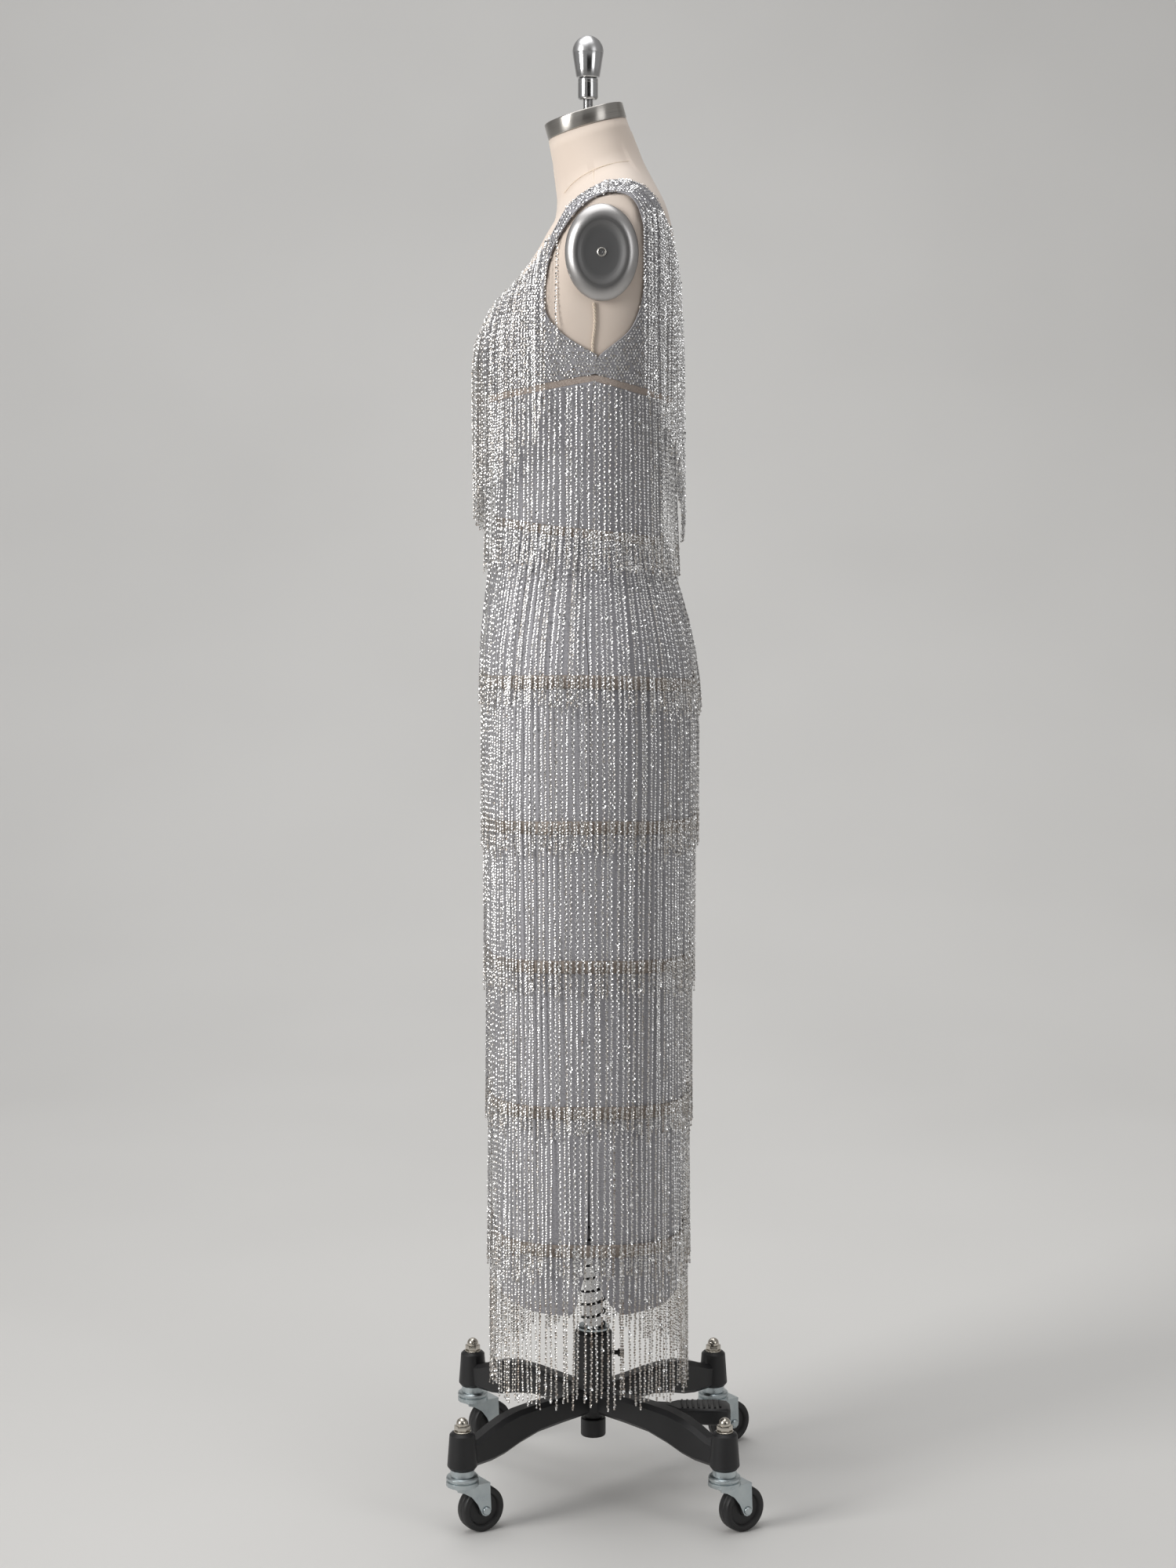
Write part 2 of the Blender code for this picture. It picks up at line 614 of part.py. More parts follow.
def make_tier(tier, rows):
    """A wall that lies on the skirt at its head and stands off at its end, over the next tier's head."""
    on_skirt, over_next = 0.0012, 0.0012 + STRAND + 0.0012

    def place(across, up):
        angle = 2 * math.pi * across
        lift = SIDE_LIFT * (math.sin(angle) ** 2 - 1)
        head = tier.head + tier.head_tilt * math.cos(angle) + (0 if tier.head_tilt == WAIST_TILT else lift)
        end = tier.end + lift + tier.end_drop * min(0, math.cos(angle))
        level = lerp(end, head, up)
        return skirt_point(level, angle, lerp(over_next, on_skirt, up))

    thicken(link(tier.name, grid(tier.name, COLUMNS, rows, place, closed=True), SEQUIN), STRAND)


def make_underbust_fringe():
    """Hangs plumb from the band to below the waist, clear of the first tier's head."""
    at_head, end = OFF_FORM + CLOTH + 0.0010, 1.131

    def place(across, up):
        angle = seamed_angle(across)
        at_end = 0.0105 - 0.0018 * math.cos(angle)
        head = underbust_level(angle) - BAND_HEIGHT - 3 * GAP
        foot = end - 0.012 * max(0, -math.cos(angle))
        row = row_at(FORM, head)
        point = ring_point(row, angle, lerp(at_end, at_head, up))
        return Vector((point.x, point.y, lerp(foot, head, up)))

    mesh = grid("fringe_underbust", COLUMNS, 4, place, closed=True)
    thicken(link("fringe_underbust", mesh, SEQUIN), STRAND)


def make_neck_fringe(name, strands, back, stand_off, out):
    """Half a curtain from the neck edge, over the bust or the shoulder blade and then plumb, mirrored."""
    rows, columns = 7, 11
    hung = []
    for step in range(columns + 1):
        strand = row_at(strands, lerp(0, strands[-1].angle, step / columns))
        start = form_point(strand.level, from_centre(strand.angle, back), BODICE_OFF_FORM + CLOTH + stand_off)
        hung.append(hang(start, strand.end, out, rows))

    def place(across, up):
        share = 1 - across if back else across
        return hung[round(share * (len(hung) - 1))][round((1 - up) * rows)]

    curtain = link(name, grid(name, len(hung) - 1, rows, place), SEQUIN)
    mirror_x(curtain)
    thicken(curtain, STRAND)


# ---------- stand ----------


def make_base():
    post = [
        (0, SOCKET_TOP), (SOCKET_RADIUS - 0.004, SOCKET_TOP), (SOCKET_RADIUS, SOCKET_TOP - 0.004),
        (SOCKET_RADIUS, HUB_BOTTOM + 0.004), (SOCKET_RADIUS - 0.002, HUB_BOTTOM), (0, HUB_BOTTOM),
    ]
    base = turned("base_casting", post, IRON, steps=28)
    diagonal = math.sqrt(0.5)
    for name, (side, fore) in CORNERS.items():
        def outwards(reach, sideways, height, side=side, fore=fore):
            turn = side * fore
            x = side * (reach - turn * sideways) * diagonal
            y = fore * (reach + turn * sideways) * diagonal
            return Vector((x, y, height))

        cut(base, beam(f"leg_{name}", LEG, LEG_BEVEL, outwards), "UNION")
        soft = 0.003
        boss = turned(
            f"boss_{name}",
            [
                (0, BOSS_TOP), (BOSS_TOP_RADIUS - soft, BOSS_TOP), (BOSS_TOP_RADIUS, BOSS_TOP - soft),
                (BOSS_BOTTOM_RADIUS, BOSS_BOTTOM + 0.004), (BOSS_BOTTOM_RADIUS - soft, BOSS_BOTTOM),
                (0, BOSS_BOTTOM),
            ],
            steps=20,
        )
        boss.location = (side * BOSS_REACH, fore * BOSS_REACH, 0)
        cut(base, boss, "UNION")
    bore, depth = TUBE_RADIUS + GAP, TUBE_BOTTOM - GAP
    cut(base, turned("tube_bore", [(0, 0.25), (bore, 0.25), (bore, depth), (0, depth)], steps=24))
    cap_top = HUB_BOTTOM - GAP
    turned(
        "hub_cap",
        [
            (0, cap_top), (0.0105, cap_top), (0.0105, 0.0895), (0.0142, 0.0895),
            (0.0152, 0.0885), (0.0152, 0.0680), (0.0142, 0.0670), (0, 0.0670),
        ],
        IRON,
        steps=20,
    )
    screw = turned(
        "height_thumbscrew",
        [
            (0, 0.0143), (0.0040, 0.0143), (0.0048, 0.0135), (0.0048, 0.0075), (0.0040, 0.0067),
            (0.0027, 0.0067), (0.0027, 0), (0, 0),
        ],
        IRON,
        steps=14,
    )
    screw.rotation_euler = (-math.pi / 2, 0, 0)
    screw.location = (0, SOCKET_RADIUS + GAP, 0.170)


def make_pole():
    tube_top, bottom = TUBE_TOP, TUBE_BOTTOM
    turned(
        "lower_tube",
        [(TUBE_BORE, tube_top), (TUBE_RADIUS, tube_top), (TUBE_RADIUS, bottom), (TUBE_BORE, bottom)],
        POLISHED,
        steps=24,
        closed=True,
    )
    top = FORM[0].level + BORE_DEPTH - GAP
    turned(
        "telescopic_rod", [(0, top), (ROD_RADIUS, top), (ROD_RADIUS, ROD_BOTTOM), (0, ROD_BOTTOM)],
        POLISHED, steps=20,
    )


def make_coil():
    """A helix of wire round the lower tube, standing on the socket."""
    points_a_turn = 12
    radius = (TUBE_RADIUS + COIL_WIRE + GAP) / math.cos(math.pi / points_a_turn)
    curve = bpy.data.curves.new("pole_coil", "CURVE")
    curve.dimensions = "3D"
    curve.bevel_depth = COIL_WIRE
    curve.bevel_resolution = 0
    curve.use_fill_caps = True
    spline = curve.splines.new("POLY")
    spline.points.add(COIL_TURNS * points_a_turn)
    for i, point in enumerate(spline.points):
        angle = 2 * math.pi * i / points_a_turn
        height = SOCKET_TOP + COIL_WIRE + 2 * GAP + COIL_PITCH * i / points_a_turn
        point.co = (radius * math.cos(angle), radius * math.sin(angle), height, 1)
    curve.materials.append(material(*IRON))
    coil = bpy.data.objects.new("pole_coil", curve)
    part.objects.link(coil)
    coil.parent = pole_axis


def make_pedal():
    def along_y(reach, sideways, height):
        return Vector((-sideways, reach, height))

    beam("foot_pedal", PEDAL, PEDAL_BEVEL, along_y, IRON)


def outline_plate(name, outline, thickness, parent):
    """A flat outline of (along, up) points, standing in the XZ plane and thickened both ways."""
    curve = bpy.data.curves.new(name, "CURVE")
    curve.dimensions = "2D"
    curve.fill_mode = "BOTH"
    curve.extrude = thickness / 2
    spline = curve.splines.new("POLY")
    spline.points.add(len(outline) - 1)
    for point, (along, up) in zip(spline.points, outline):
        point.co = (along, up, 0, 1)
    spline.use_cyclic_u = True
    drawn = bpy.data.objects.new(name + "_outline", curve)
    helpers.objects.link(drawn)
    bpy.context.view_layer.update()
    evaluated = drawn.evaluated_get(bpy.context.evaluated_depsgraph_get())
    bm = bmesh.new()
    bm.from_mesh(bpy.data.meshes.new_from_object(evaluated))
    bpy.data.objects.remove(drawn)
    bmesh.ops.remove_doubles(bm, verts=bm.verts, dist=1e-6)
    bmesh.ops.recalc_face_normals(bm, faces=bm.faces)
    plate = link(name, mesh_from(bm, name), None, parent)
    plate.rotation_euler = (math.pi / 2, 0, 0)
    return plate


def make_castor(name, side, fore):
    corner = bpy.data.objects.new(f"castor_{name}", None)
    corner.location = (side * BOSS_REACH, fore * BOSS_REACH, 0)
    corner.rotation_euler = (0, 0, TRAIL_ANGLE)
    corner.parent = pole_axis
    part.objects.link(corner)

    plate_top, plate_bottom, groove = 0.0605, 0.0580, 0.0008
    race = [
        (0, BOSS_BOTTOM - GAP), (0.0142, BOSS_BOTTOM - GAP), (0.0142, 0.0715), (0.0178, 0.0712),
        (RACE_RADIUS, 0.0695), (RACE_RADIUS, 0.0672), (0.0172, 0.0662), (0.0172, 0.0662 - groove),
        (RACE_RADIUS, 0.0645), (RACE_RADIUS, plate_top - 0.001), (0, plate_top - 0.001),
    ]
    fork = turned(f"castor_fork_{name}", race, ZINC, steps=16, parent=corner)
    width = FORK_INSIDE + FORK_PLATE
    crown = box(f"crown_{name}", (-0.0140, -width, plate_bottom), (0.0300, width, plate_top), None, corner)
    cut(fork, crown, "UNION")
    eye = 0.0066
    lobe = [
        (TRAIL + eye * math.cos(math.radians(a)), WHEEL_CENTRE_Z + eye * math.sin(math.radians(a)))
        for a in (5, -30, -65, -100, -135, -160)
    ]
    sunk = plate_top - 0.0008
    outline = [(0.0297, sunk)] + lobe + [
        (0.0130, 0.0365), (0.0050, 0.0470), (-0.0050, 0.0535), (-0.0137, 0.0565), (-0.0137, sunk),
    ]
    for hand in (1, -1):
        cheek = outline_plate(f"cheek_{name}_{hand}", outline[::-1], FORK_PLATE - 0.0002, corner)
        cheek.location = (0, hand * (FORK_INSIDE + FORK_PLATE / 2), 0)
        cut(fork, cheek, "UNION")
    pin = AXLE_RADIUS + GAP
    hole = turned(f"axle_hole_{name}", [(0, 0.05), (pin, 0.05), (pin, -0.05), (0, -0.05)], steps=12, parent=corner)
    hole.rotation_euler = (math.pi / 2, 0, 0)
    hole.location = (TRAIL, 0, WHEEL_CENTRE_Z)
    cut(fork, hole)

    w, bore = WHEEL_HALF_WIDTH, AXLE_RADIUS + GAP
    tread = [(bore, w), (0.0245, w), (WHEEL_RADIUS, w - 0.003)]
    wheel = turned(
        f"castor_wheel_{name}", tread + [(r, -z) for r, z in reversed(tread)], RUBBER,
        steps=WHEEL_STEPS, closed=True, parent=corner,
    )
    wheel.rotation_euler = (math.pi / 2, math.pi / WHEEL_STEPS, 0)
    wheel.location = (TRAIL, 0, WHEEL_CENTRE_Z)

    head, end = 0.0052, FORK_INSIDE + FORK_PLATE + GAP
    axle = turned(
        f"castor_axle_{name}",
        [
            (0, end + 0.0022), (head - 0.001, end + 0.0022), (head, end + 0.0010), (head, end),
            (AXLE_RADIUS, end), (AXLE_RADIUS, -end), (head, -end), (head, -end - 0.0010),
            (head - 0.001, -end - 0.0022), (0, -end - 0.0022),
        ],
        ZINC,
        steps=12,
        parent=corner,
    )
    axle.rotation_euler = (math.pi / 2, 0, 0)
    axle.location = (TRAIL, 0, WHEEL_CENTRE_Z)


def make_acorn_nut(name, side, fore):
    """A hexagonal nut with a domed cap."""
    foot, hexagon, dome = BOSS_TOP + GAP, 0.0080, 0.0088
    bm = bmesh.new()
    bmesh.ops.create_cone(bm, cap_ends=True, segments=6, radius1=0.0093, radius2=0.0093, depth=hexagon)
    nut = link(f"acorn_nut_{name}", mesh_from(bm, name), NICKEL)
    nut.location = (side * BOSS_REACH, fore * BOSS_REACH, foot + hexagon / 2)
    radius = 0.0073
    arc = [(radius * math.cos(math.radians(a)), hexagon / 2 + dome * math.sin(math.radians(a))) for a in (60, 30, 0)]
    crown = turned(f"nut_dome_{name}", [(0, hexagon / 2 + dome)] + arc + [(radius, 0), (0, 0)], steps=12)
    crown.location = nut.location
    cut(nut, crown, "UNION")


make_form()
make_neck_cap()
make_arm_plates()
make_bodice("bodice_front", BODICE_FRONT, back=False)
make_bodice("bodice_back", BODICE_BACK, back=True)
make_band()
make_midriff("midriff_front", back=False)
make_midriff("midriff_back", back=True)
make_skirt("skirt_front", back=False)
make_skirt("skirt_back", back=True)
make_underbust_fringe()
make_neck_fringe("fringe_neck_front", NECK_FRONT, back=False, stand_off=0.0024, out=0.0075)
make_neck_fringe("fringe_neck_back", NECK_BACK, back=True, stand_off=0.0020, out=0.0074)
for tier_row in TIERS:
    make_tier(tier_row, 6 if tier_row is TIERS[0] else 3)
make_base()
make_pole()
make_coil()
make_pedal()
for corner_name, (left, behind) in CORNERS.items():
    make_castor(corner_name, left, behind)
    make_acorn_nut(corner_name, left, behind)
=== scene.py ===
import math

import bmesh
import bpy
import numpy as np
from mathutils import Matrix, Vector
from mathutils.bvhtree import BVHTree


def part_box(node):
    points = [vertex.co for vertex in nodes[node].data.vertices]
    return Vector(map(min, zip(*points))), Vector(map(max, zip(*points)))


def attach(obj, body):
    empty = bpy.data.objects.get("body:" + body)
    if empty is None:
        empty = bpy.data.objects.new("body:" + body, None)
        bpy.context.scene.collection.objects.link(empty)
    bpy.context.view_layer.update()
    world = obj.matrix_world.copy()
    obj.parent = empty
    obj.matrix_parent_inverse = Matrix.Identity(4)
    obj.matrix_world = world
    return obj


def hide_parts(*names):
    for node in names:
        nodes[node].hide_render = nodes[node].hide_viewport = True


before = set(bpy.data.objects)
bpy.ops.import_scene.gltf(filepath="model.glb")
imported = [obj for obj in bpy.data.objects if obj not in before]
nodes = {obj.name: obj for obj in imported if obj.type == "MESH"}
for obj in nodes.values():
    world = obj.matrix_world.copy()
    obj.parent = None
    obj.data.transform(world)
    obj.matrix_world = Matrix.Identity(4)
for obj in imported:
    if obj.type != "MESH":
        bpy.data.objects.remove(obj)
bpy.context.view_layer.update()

tubeLow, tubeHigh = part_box("lower_tube")
pole = Vector(((tubeLow.x + tubeHigh.x) / 2, (tubeLow.y + tubeHigh.y) / 2, 0))
rayLength = 0.4
corners = {"front_left": (1, -1), "front_right": (-1, -1), "back_left": (1, 1), "back_right": (-1, 1)}
print("frame loaded, pole at", tuple(round(v, 4) for v in pole))


# ----- small helpers -----

def linear(code):
    # an sRGB hex code as linear red, green, blue and alpha
    parts = [int(code[i:i + 2], 16) / 255 for i in (1, 3, 5)]
    return tuple(p / 12.92 if p <= 0.04045 else ((p + 0.055) / 1.055) ** 2.4 for p in parts) + (1.0,)


def addNode(tree, kind, settings=None, links=None):
    # a setting is an input where the node has one of that name or number, and otherwise a property
    node = tree.nodes.new(kind)
    for key, value in (settings or {}).items():
        if isinstance(key, int) or (key in node.inputs and not hasattr(node, str(key))):
            node.inputs[key].default_value = value
        else:
            setattr(node, key, value)
    for key, socket in (links or {}).items():
        tree.links.new(socket, node.inputs[key])
    return node


looks = {}


def newMaterial(key, name, colour, roughness, metallic=0.0):
    material = looks[key] = bpy.data.materials.new(name)
    material.use_nodes = True
    tree = material.node_tree
    shader = tree.nodes["Principled BSDF"]
    shader.inputs["Base Color"].default_value = linear(colour)
    shader.inputs["Roughness"].default_value = roughness
    shader.inputs["Metallic"].default_value = metallic
    return tree, shader


def rampInto(shader, socket, source, stops):
    # a ramp from a pattern to a socket: each stop is a place with a hex colour or a plain value
    tree = shader.id_data
    node = addNode(tree, "ShaderNodeValToRGB", links={"Fac": source})
    while len(node.color_ramp.elements) < len(stops):
        node.color_ramp.elements.new(0.5)
    for element, (place, colour) in zip(node.color_ramp.elements, stops):
        element.position = place
        element.color = linear(colour) if isinstance(colour, str) else (colour, colour, colour, 1)
    tree.links.new(node.outputs["Color"], shader.inputs[socket])


def bump(shader, height, strength, distance):
    tree = shader.id_data
    node = addNode(tree, "ShaderNodeBump", {"Strength": strength, "Distance": distance}, {"Height": height})
    tree.links.new(node.outputs["Normal"], shader.inputs["Normal"])


def objectCoords(tree, scale=(1, 1, 1), turn=(0, 0, 0)):
    coords = addNode(tree, "ShaderNodeTexCoord")
    mapping = addNode(tree, "ShaderNodeMapping", {"Scale": scale, "Rotation": turn},
                      {"Vector": coords.outputs["Object"]})
    return mapping.outputs["Vector"]


def noise(tree, scale, detail=2.0, vector=None):
    vector = objectCoords(tree) if vector is None else vector
    return addNode(tree, "ShaderNodeTexNoise", {"Scale": scale, "Detail": detail}, {"Vector": vector}).outputs["Fac"]


def bands(tree, scale, distortion, detail=2.0):
    settings = {"bands_direction": "Z", "Scale": scale, "Distortion": distortion, "Detail": detail}
    return addNode(tree, "ShaderNodeTexWave", settings, {"Vector": objectCoords(tree)}).outputs["Fac"]


def linked(name, data):
    obj = bpy.data.objects.new(name, data)
    bpy.context.scene.collection.objects.link(obj)
    return obj


def makeObject(mesh, name, look, body, replaced=(), slot=None, smoothAngle=40):
    obj = linked(name, mesh)
    mesh.materials.append(looks[look])
    if smoothAngle is not None:
        mesh.shade_smooth()
        mesh.set_sharp_from_angle(angle=math.radians(smoothAngle))
    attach(obj, body)
    if replaced:
        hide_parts(*replaced)
    return obj


def meshFrom(bm, name):
    mesh = bpy.data.meshes.new(name)
    bm.to_mesh(mesh)
    bm.free()
    return mesh


def makePiece(bm, name, *rest, **more):
    return makeObject(meshFrom(bm, name), name, *rest, **more)


def mergedCopy(node):
    # the CAD node's own mesh with its points merged
    bm = bmesh.new()
    bm.from_mesh(nodes[node].data)
    bmesh.ops.remove_doubles(bm, verts=bm.verts, dist=4e-6)
    return bm


edgeSettings = {"segments": 2, "angle": 35, "flatAngle": 1.0}


def softenedCopy(node, name, look, body, slot, width):
    # the CAD node with its flats made whole and its edges rounded
    bm = mergedCopy(node)
    bmesh.ops.dissolve_limit(bm, angle_limit=math.radians(edgeSettings["flatAngle"]), verts=bm.verts, edges=bm.edges)
    obj = makePiece(bm, name, look, body, [node], slot, edgeSettings["angle"])
    edge = obj.modifiers.new("Soft edges", "BEVEL")
    edge.width = width
    edge.segments = edgeSettings["segments"]
    edge.limit_method = "ANGLE"
    edge.angle_limit = math.radians(edgeSettings["angle"])


def closed(bm):
    # its meeting points merged and its faces turned outwards
    bmesh.ops.remove_doubles(bm, verts=bm.verts, dist=1e-6)
    bmesh.ops.recalc_face_normals(bm, faces=bm.faces)


def spun(profile, segments=48, place=Matrix.Identity(4)):
    # a profile of (radius, height) points, down its outer side, turned round Z
    bm = bmesh.new()
    verts = [bm.verts.new((radius, 0, height)) for radius, height in profile]
    edges = [bm.edges.new(pair) for pair in zip(verts, verts[1:])]
    bmesh.ops.spin(bm, geom=verts + edges, cent=(0, 0, 0), axis=(0, 0, 1), angle=2 * math.pi,
                   steps=segments, use_merge=True)
    closed(bm)
    bmesh.ops.transform(bm, matrix=place, verts=bm.verts)
    return bm


def dome(radius, base, height, step):
    # the outline of a dome from its top, a point every so many degrees
    angles = [math.radians(a) for a in range(90 - step, -1, -step)]
    return [(0, base + height)] + [(radius * math.cos(a), base + height * math.sin(a)) for a in angles]


def joined(parts):
    whole = bmesh.new()
    for part in parts:
        piece = bpy.data.meshes.new("part")
        part.to_mesh(piece)
        part.free()
        whole.from_mesh(piece)
        bpy.data.meshes.remove(piece)
    return whole


def tube(points, radius, sides=8):
    # a round bar along a line of points
    curve = bpy.data.curves.new("tube", "CURVE")
    curve.dimensions = "3D"
    curve.bevel_depth = radius
    curve.bevel_resolution = max(0, sides // 4 - 1)
    curve.use_fill_caps = True
    spline = curve.splines.new("POLY")
    spline.points.add(len(points) - 1)
    for point, place in zip(spline.points, points):
        point.co = (*place, 1)
    drawn = linked("tube", curve)
    mesh = bpy.data.meshes.new_from_object(drawn.evaluated_get(bpy.context.evaluated_depsgraph_get()))
    bpy.data.objects.remove(drawn)
    bm = bmesh.new()
    bm.from_mesh(mesh)
    closed(bm)
    return bm


def treeOf(*names):
    # what rays are cast at: the surfaces of these CAD nodes
    bm = bmesh.new()
    for name in names:
        bm.from_mesh(nodes[name].data)
    tree = BVHTree.FromBMesh(bm)
    bm.free()
    return tree


def awayAt(angle):
    # straight out from the pole, 0 at the front and rising to the wearer's left
    return Vector((math.sin(angle), -math.cos(angle), 0))


def outside(tree, angle, level):
    # the outermost point of a surface at this angle round the pole
    away = awayAt(angle)
    hit = tree.ray_cast(Vector((pole.x, pole.y, level)) + away * rayLength, -away, rayLength)[0]
    return hit, away


def onCloth(tree, angle, level):
    # as outside, but it looks beside a seam where the ray falls into its gap
    for turn, rise in ((0, 0), (0.006, 0), (-0.006, 0), (0, 0.001), (0, -0.001), (0.006, -0.0015), (0.02, -0.003)):
        hit = outside(tree, angle + turn, level + rise)[0]
        if hit is not None:
            away = awayAt(angle)
            return Vector((pole.x, pole.y, level)) + away * (hit.xy - pole.xy).length, away
    raise ValueError("no cloth here")


# ----- materials -----

plateSettings = {"tall": 0.0535, "wide": 0.041, "side": 0.1655, "screwSide": 0.1673, "behind": 0.0088,
                 "level": 1.478}
knobSettings = {"behind": 0.0064, "segments": 64, "radius": 0.0180, "crown": 0.0185, "domeFrom": 1.7185,
                "satinFrom": 1.7176, "threads": 12, "threadPitch": 0.0012}


def makeMaterials():
    # metallised film sequins, stamped cups: satin silver, some duller and warmer, a few like mirrors
    tree, shader = newMaterial("sequin", "metallised film sequin", "#CFCFD1", 0.4, 1.0)
    tone = addNode(tree, "ShaderNodeAttribute", {"attribute_name": "tone"}).outputs["Fac"]
    rampInto(shader, "Base Color", tone, [(0.0, "#FCFCFC"), (0.05, "#F2F2F3"), (0.4, "#E2E1E0"), (0.65, "#C4BFB9"),
                                          (1.0, "#8A7E74")])
    rampInto(shader, "Roughness", tone, [(0.0, 0.13), (0.03, 0.15), (0.06, 0.22), (0.6, 0.3), (1.0, 0.34)])

    # stretch knit, heather grey polyester: matt, with ribs every 1.6 mm, drawn coarser than the yarn to show
    tree, shader = newMaterial("knit", "heather grey stretch knit", "#9B9A9E", 0.82)
    shader.inputs["Sheen Weight"].default_value = 0.2
    shader.inputs["Sheen Roughness"].default_value = 0.5
    heather = noise(tree, 900.0)
    rampInto(shader, "Base Color", heather, [(0.25, "#86858A"), (0.5, "#9B9A9F"), (0.78, "#B1B0B4")])
    both = addNode(tree, "ShaderNodeMath", {"operation": "ADD"},
                   {0: bands(tree, 200.0, 1.2, 1.0), 1: heather}).outputs["Value"]
    bump(shader, both, 0.35, 0.0005)

    # nylon power mesh tape, nude: thin, slightly shiny, open net drawn as a 1.2 mm check
    tree, shader = newMaterial("tape", "nude nylon mesh tape", "#B8A79C", 0.6)
    net = addNode(tree, "ShaderNodeTexVoronoi", {"Scale": 850.0}, {"Vector": objectCoords(tree)}).outputs["Distance"]
    rampInto(shader, "Base Color", net, [(0.2, "#BCAFA6"), (0.65, "#9D9087")])
    bump(shader, net, 0.3, 0.0003)

    # the fringe's own header tape, a darker nylon mesh with stitch rows 2 mm apart
    tree, shader = newMaterial("header", "taupe nylon mesh header", "#968C84", 0.7)
    rampInto(shader, "Base Color", noise(tree, 500.0), [(0.3, "#837870"), (0.7, "#A0968E")])
    bump(shader, bands(tree, 160.0, 0.4), 0.3, 0.0004)

    # cotton jersey stretched on a form: matt, warm cream, loops under 1 mm
    tree, shader = newMaterial("jersey", "cream cotton jersey", "#D4C6BA", 0.88)
    shader.inputs["Sheen Weight"].default_value = 0.2
    rampInto(shader, "Base Color", noise(tree, 7.0, 3.0), [(0.3, "#D1C2B5"), (0.7, "#D8CBC0")])
    loops = noise(tree, 1400.0, 1.0, objectCoords(tree, (1, 1, 0.6)))
    bump(shader, loops, 0.22, 0.0003)

    # spun steel: fine lines left by the brush run round the ring, which leans back by 15.9 degrees
    tree, shader = newMaterial("ring", "brushed stainless ring", "#B9B5B0", 0.28, 1.0)
    coords = objectCoords(tree, turn=(math.radians(-15.9), 0, 0))
    drawn = addNode(tree, "ShaderNodeVectorMath", {"operation": "MULTIPLY", 1: (5, 5, 2600)}, {0: coords})
    lines = noise(tree, 1.0, 1.0, drawn.outputs["Vector"])
    rampInto(shader, "Base Color", lines, [(0.25, "#ABA7A2"), (0.75, "#C6C3BE")])
    rampInto(shader, "Roughness", lines, [(0.25, 0.27), (0.75, 0.36)])
    shader.inputs["Anisotropic"].default_value = 0.8
    shader.inputs["Anisotropic Rotation"].default_value = 0.25

    # spun steel dish: the lines are circles round its centre
    tree, shader = newMaterial("dish", "spun stainless dish", "#A5A4A4", 0.2, 1.0)
    low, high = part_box("arm_plate_left")
    centre = (low + high) / 2
    wide, tall = plateSettings["wide"], plateSettings["tall"]
    coords = addNode(tree, "ShaderNodeTexCoord").outputs["Object"]
    flat = addNode(tree, "ShaderNodeVectorMath", {"operation": "MULTIPLY_ADD", 1: (0, 1 / wide, 1 / tall),
                                                  2: (0, -centre.y / wide, -centre.z / tall)}, {0: coords})
    away = addNode(tree, "ShaderNodeVectorMath", {"operation": "LENGTH"}, {0: flat.outputs["Vector"]}).outputs["Value"]
    rings = addNode(tree, "ShaderNodeTexNoise", {"noise_dimensions": "1D", "Scale": 60.0, "Detail": 2.0}, {"W": away})
    rampInto(shader, "Roughness", rings.outputs["Fac"], [(0.3, 0.33), (0.7, 0.39)])
    # painted shade and highlight: the base colour is darker in the centre and lighter towards the rim, standing in for
    # the dark and bright reflections of the spun steel over its own steel grey
    rampInto(shader, "Base Color", away, [(0.45, "#9C9C9D"), (0.7, "#A5A4A4"), (0.9, "#BDBBBA")])

    # turned and polished aluminium: near mirror with faint handling marks
    tree, shader = newMaterial("aluminium", "polished aluminium", "#C9C9CA", 0.13, 1.0)
    rampInto(shader, "Roughness", noise(tree, 90.0, 3.0), [(0.35, 0.14), (0.75, 0.19)])

    # the same metal on the knob, where the dome above the groove is left satin
    tree, shader = newMaterial("knob", "aluminium knob", "#CDCDCE", 0.13, 1.0)
    height = addNode(tree, "ShaderNodeSeparateXYZ", links={"Vector": objectCoords(tree)}).outputs["Z"]
    onDome = addNode(tree, "ShaderNodeMath", {"operation": "GREATER_THAN", 1: knobSettings["satinFrom"]},
                     {0: height}).outputs["Value"]
    rampInto(shader, "Roughness", onDome, [(0.0, 0.18), (1.0, 0.34)])
    shader.inputs["Anisotropic"].default_value = 0.5
    shader.inputs["Anisotropic Rotation"].default_value = 0.25

    # cast iron under black satin powder coat: orange peel of about 1.5 mm
    tree, shader = newMaterial("iron", "black powder coated iron", "#121214", 0.42)
    wear = noise(tree, 22.0, 4.0)
    rampInto(shader, "Base Color", wear, [(0.3, "#0E0E10"), (0.8, "#1B1B1D")])
    rampInto(shader, "Roughness", wear, [(0.3, 0.36), (0.75, 0.52)])
    bump(shader, noise(tree, 420.0), 0.18, 0.0004)

    # zinc plated pressed steel: pale blue grey, cloudy where the plating varies
    tree, shader = newMaterial("zinc", "zinc plated steel", "#AEB9BE", 0.28, 1.0)
    cloud = noise(tree, 60.0, 3.0)
    rampInto(shader, "Base Color", cloud, [(0.3, "#AEB8BC"), (0.7, "#C0C8CA")])
    rampInto(shader, "Roughness", cloud, [(0.3, 0.26), (0.75, 0.34)])

    # nickel plate on brass: warmer than zinc, smooth
    tree, shader = newMaterial("nickel", "nickel plated brass", "#C9C3B9", 0.18, 1.0)
    rampInto(shader, "Roughness", noise(tree, 160.0), [(0.3, 0.12), (0.75, 0.28)])

    # moulded rubber tread: matt black, dusty in places
    tree, shader = newMaterial("rubber", "moulded black rubber", "#151516", 0.55)
    dust = noise(tree, 60.0, 4.0)
    rampInto(shader, "Base Color", dust, [(0.35, "#101011"), (0.8, "#2A2A2B")])
    rampInto(shader, "Roughness", dust, [(0.3, 0.4), (0.8, 0.68)])

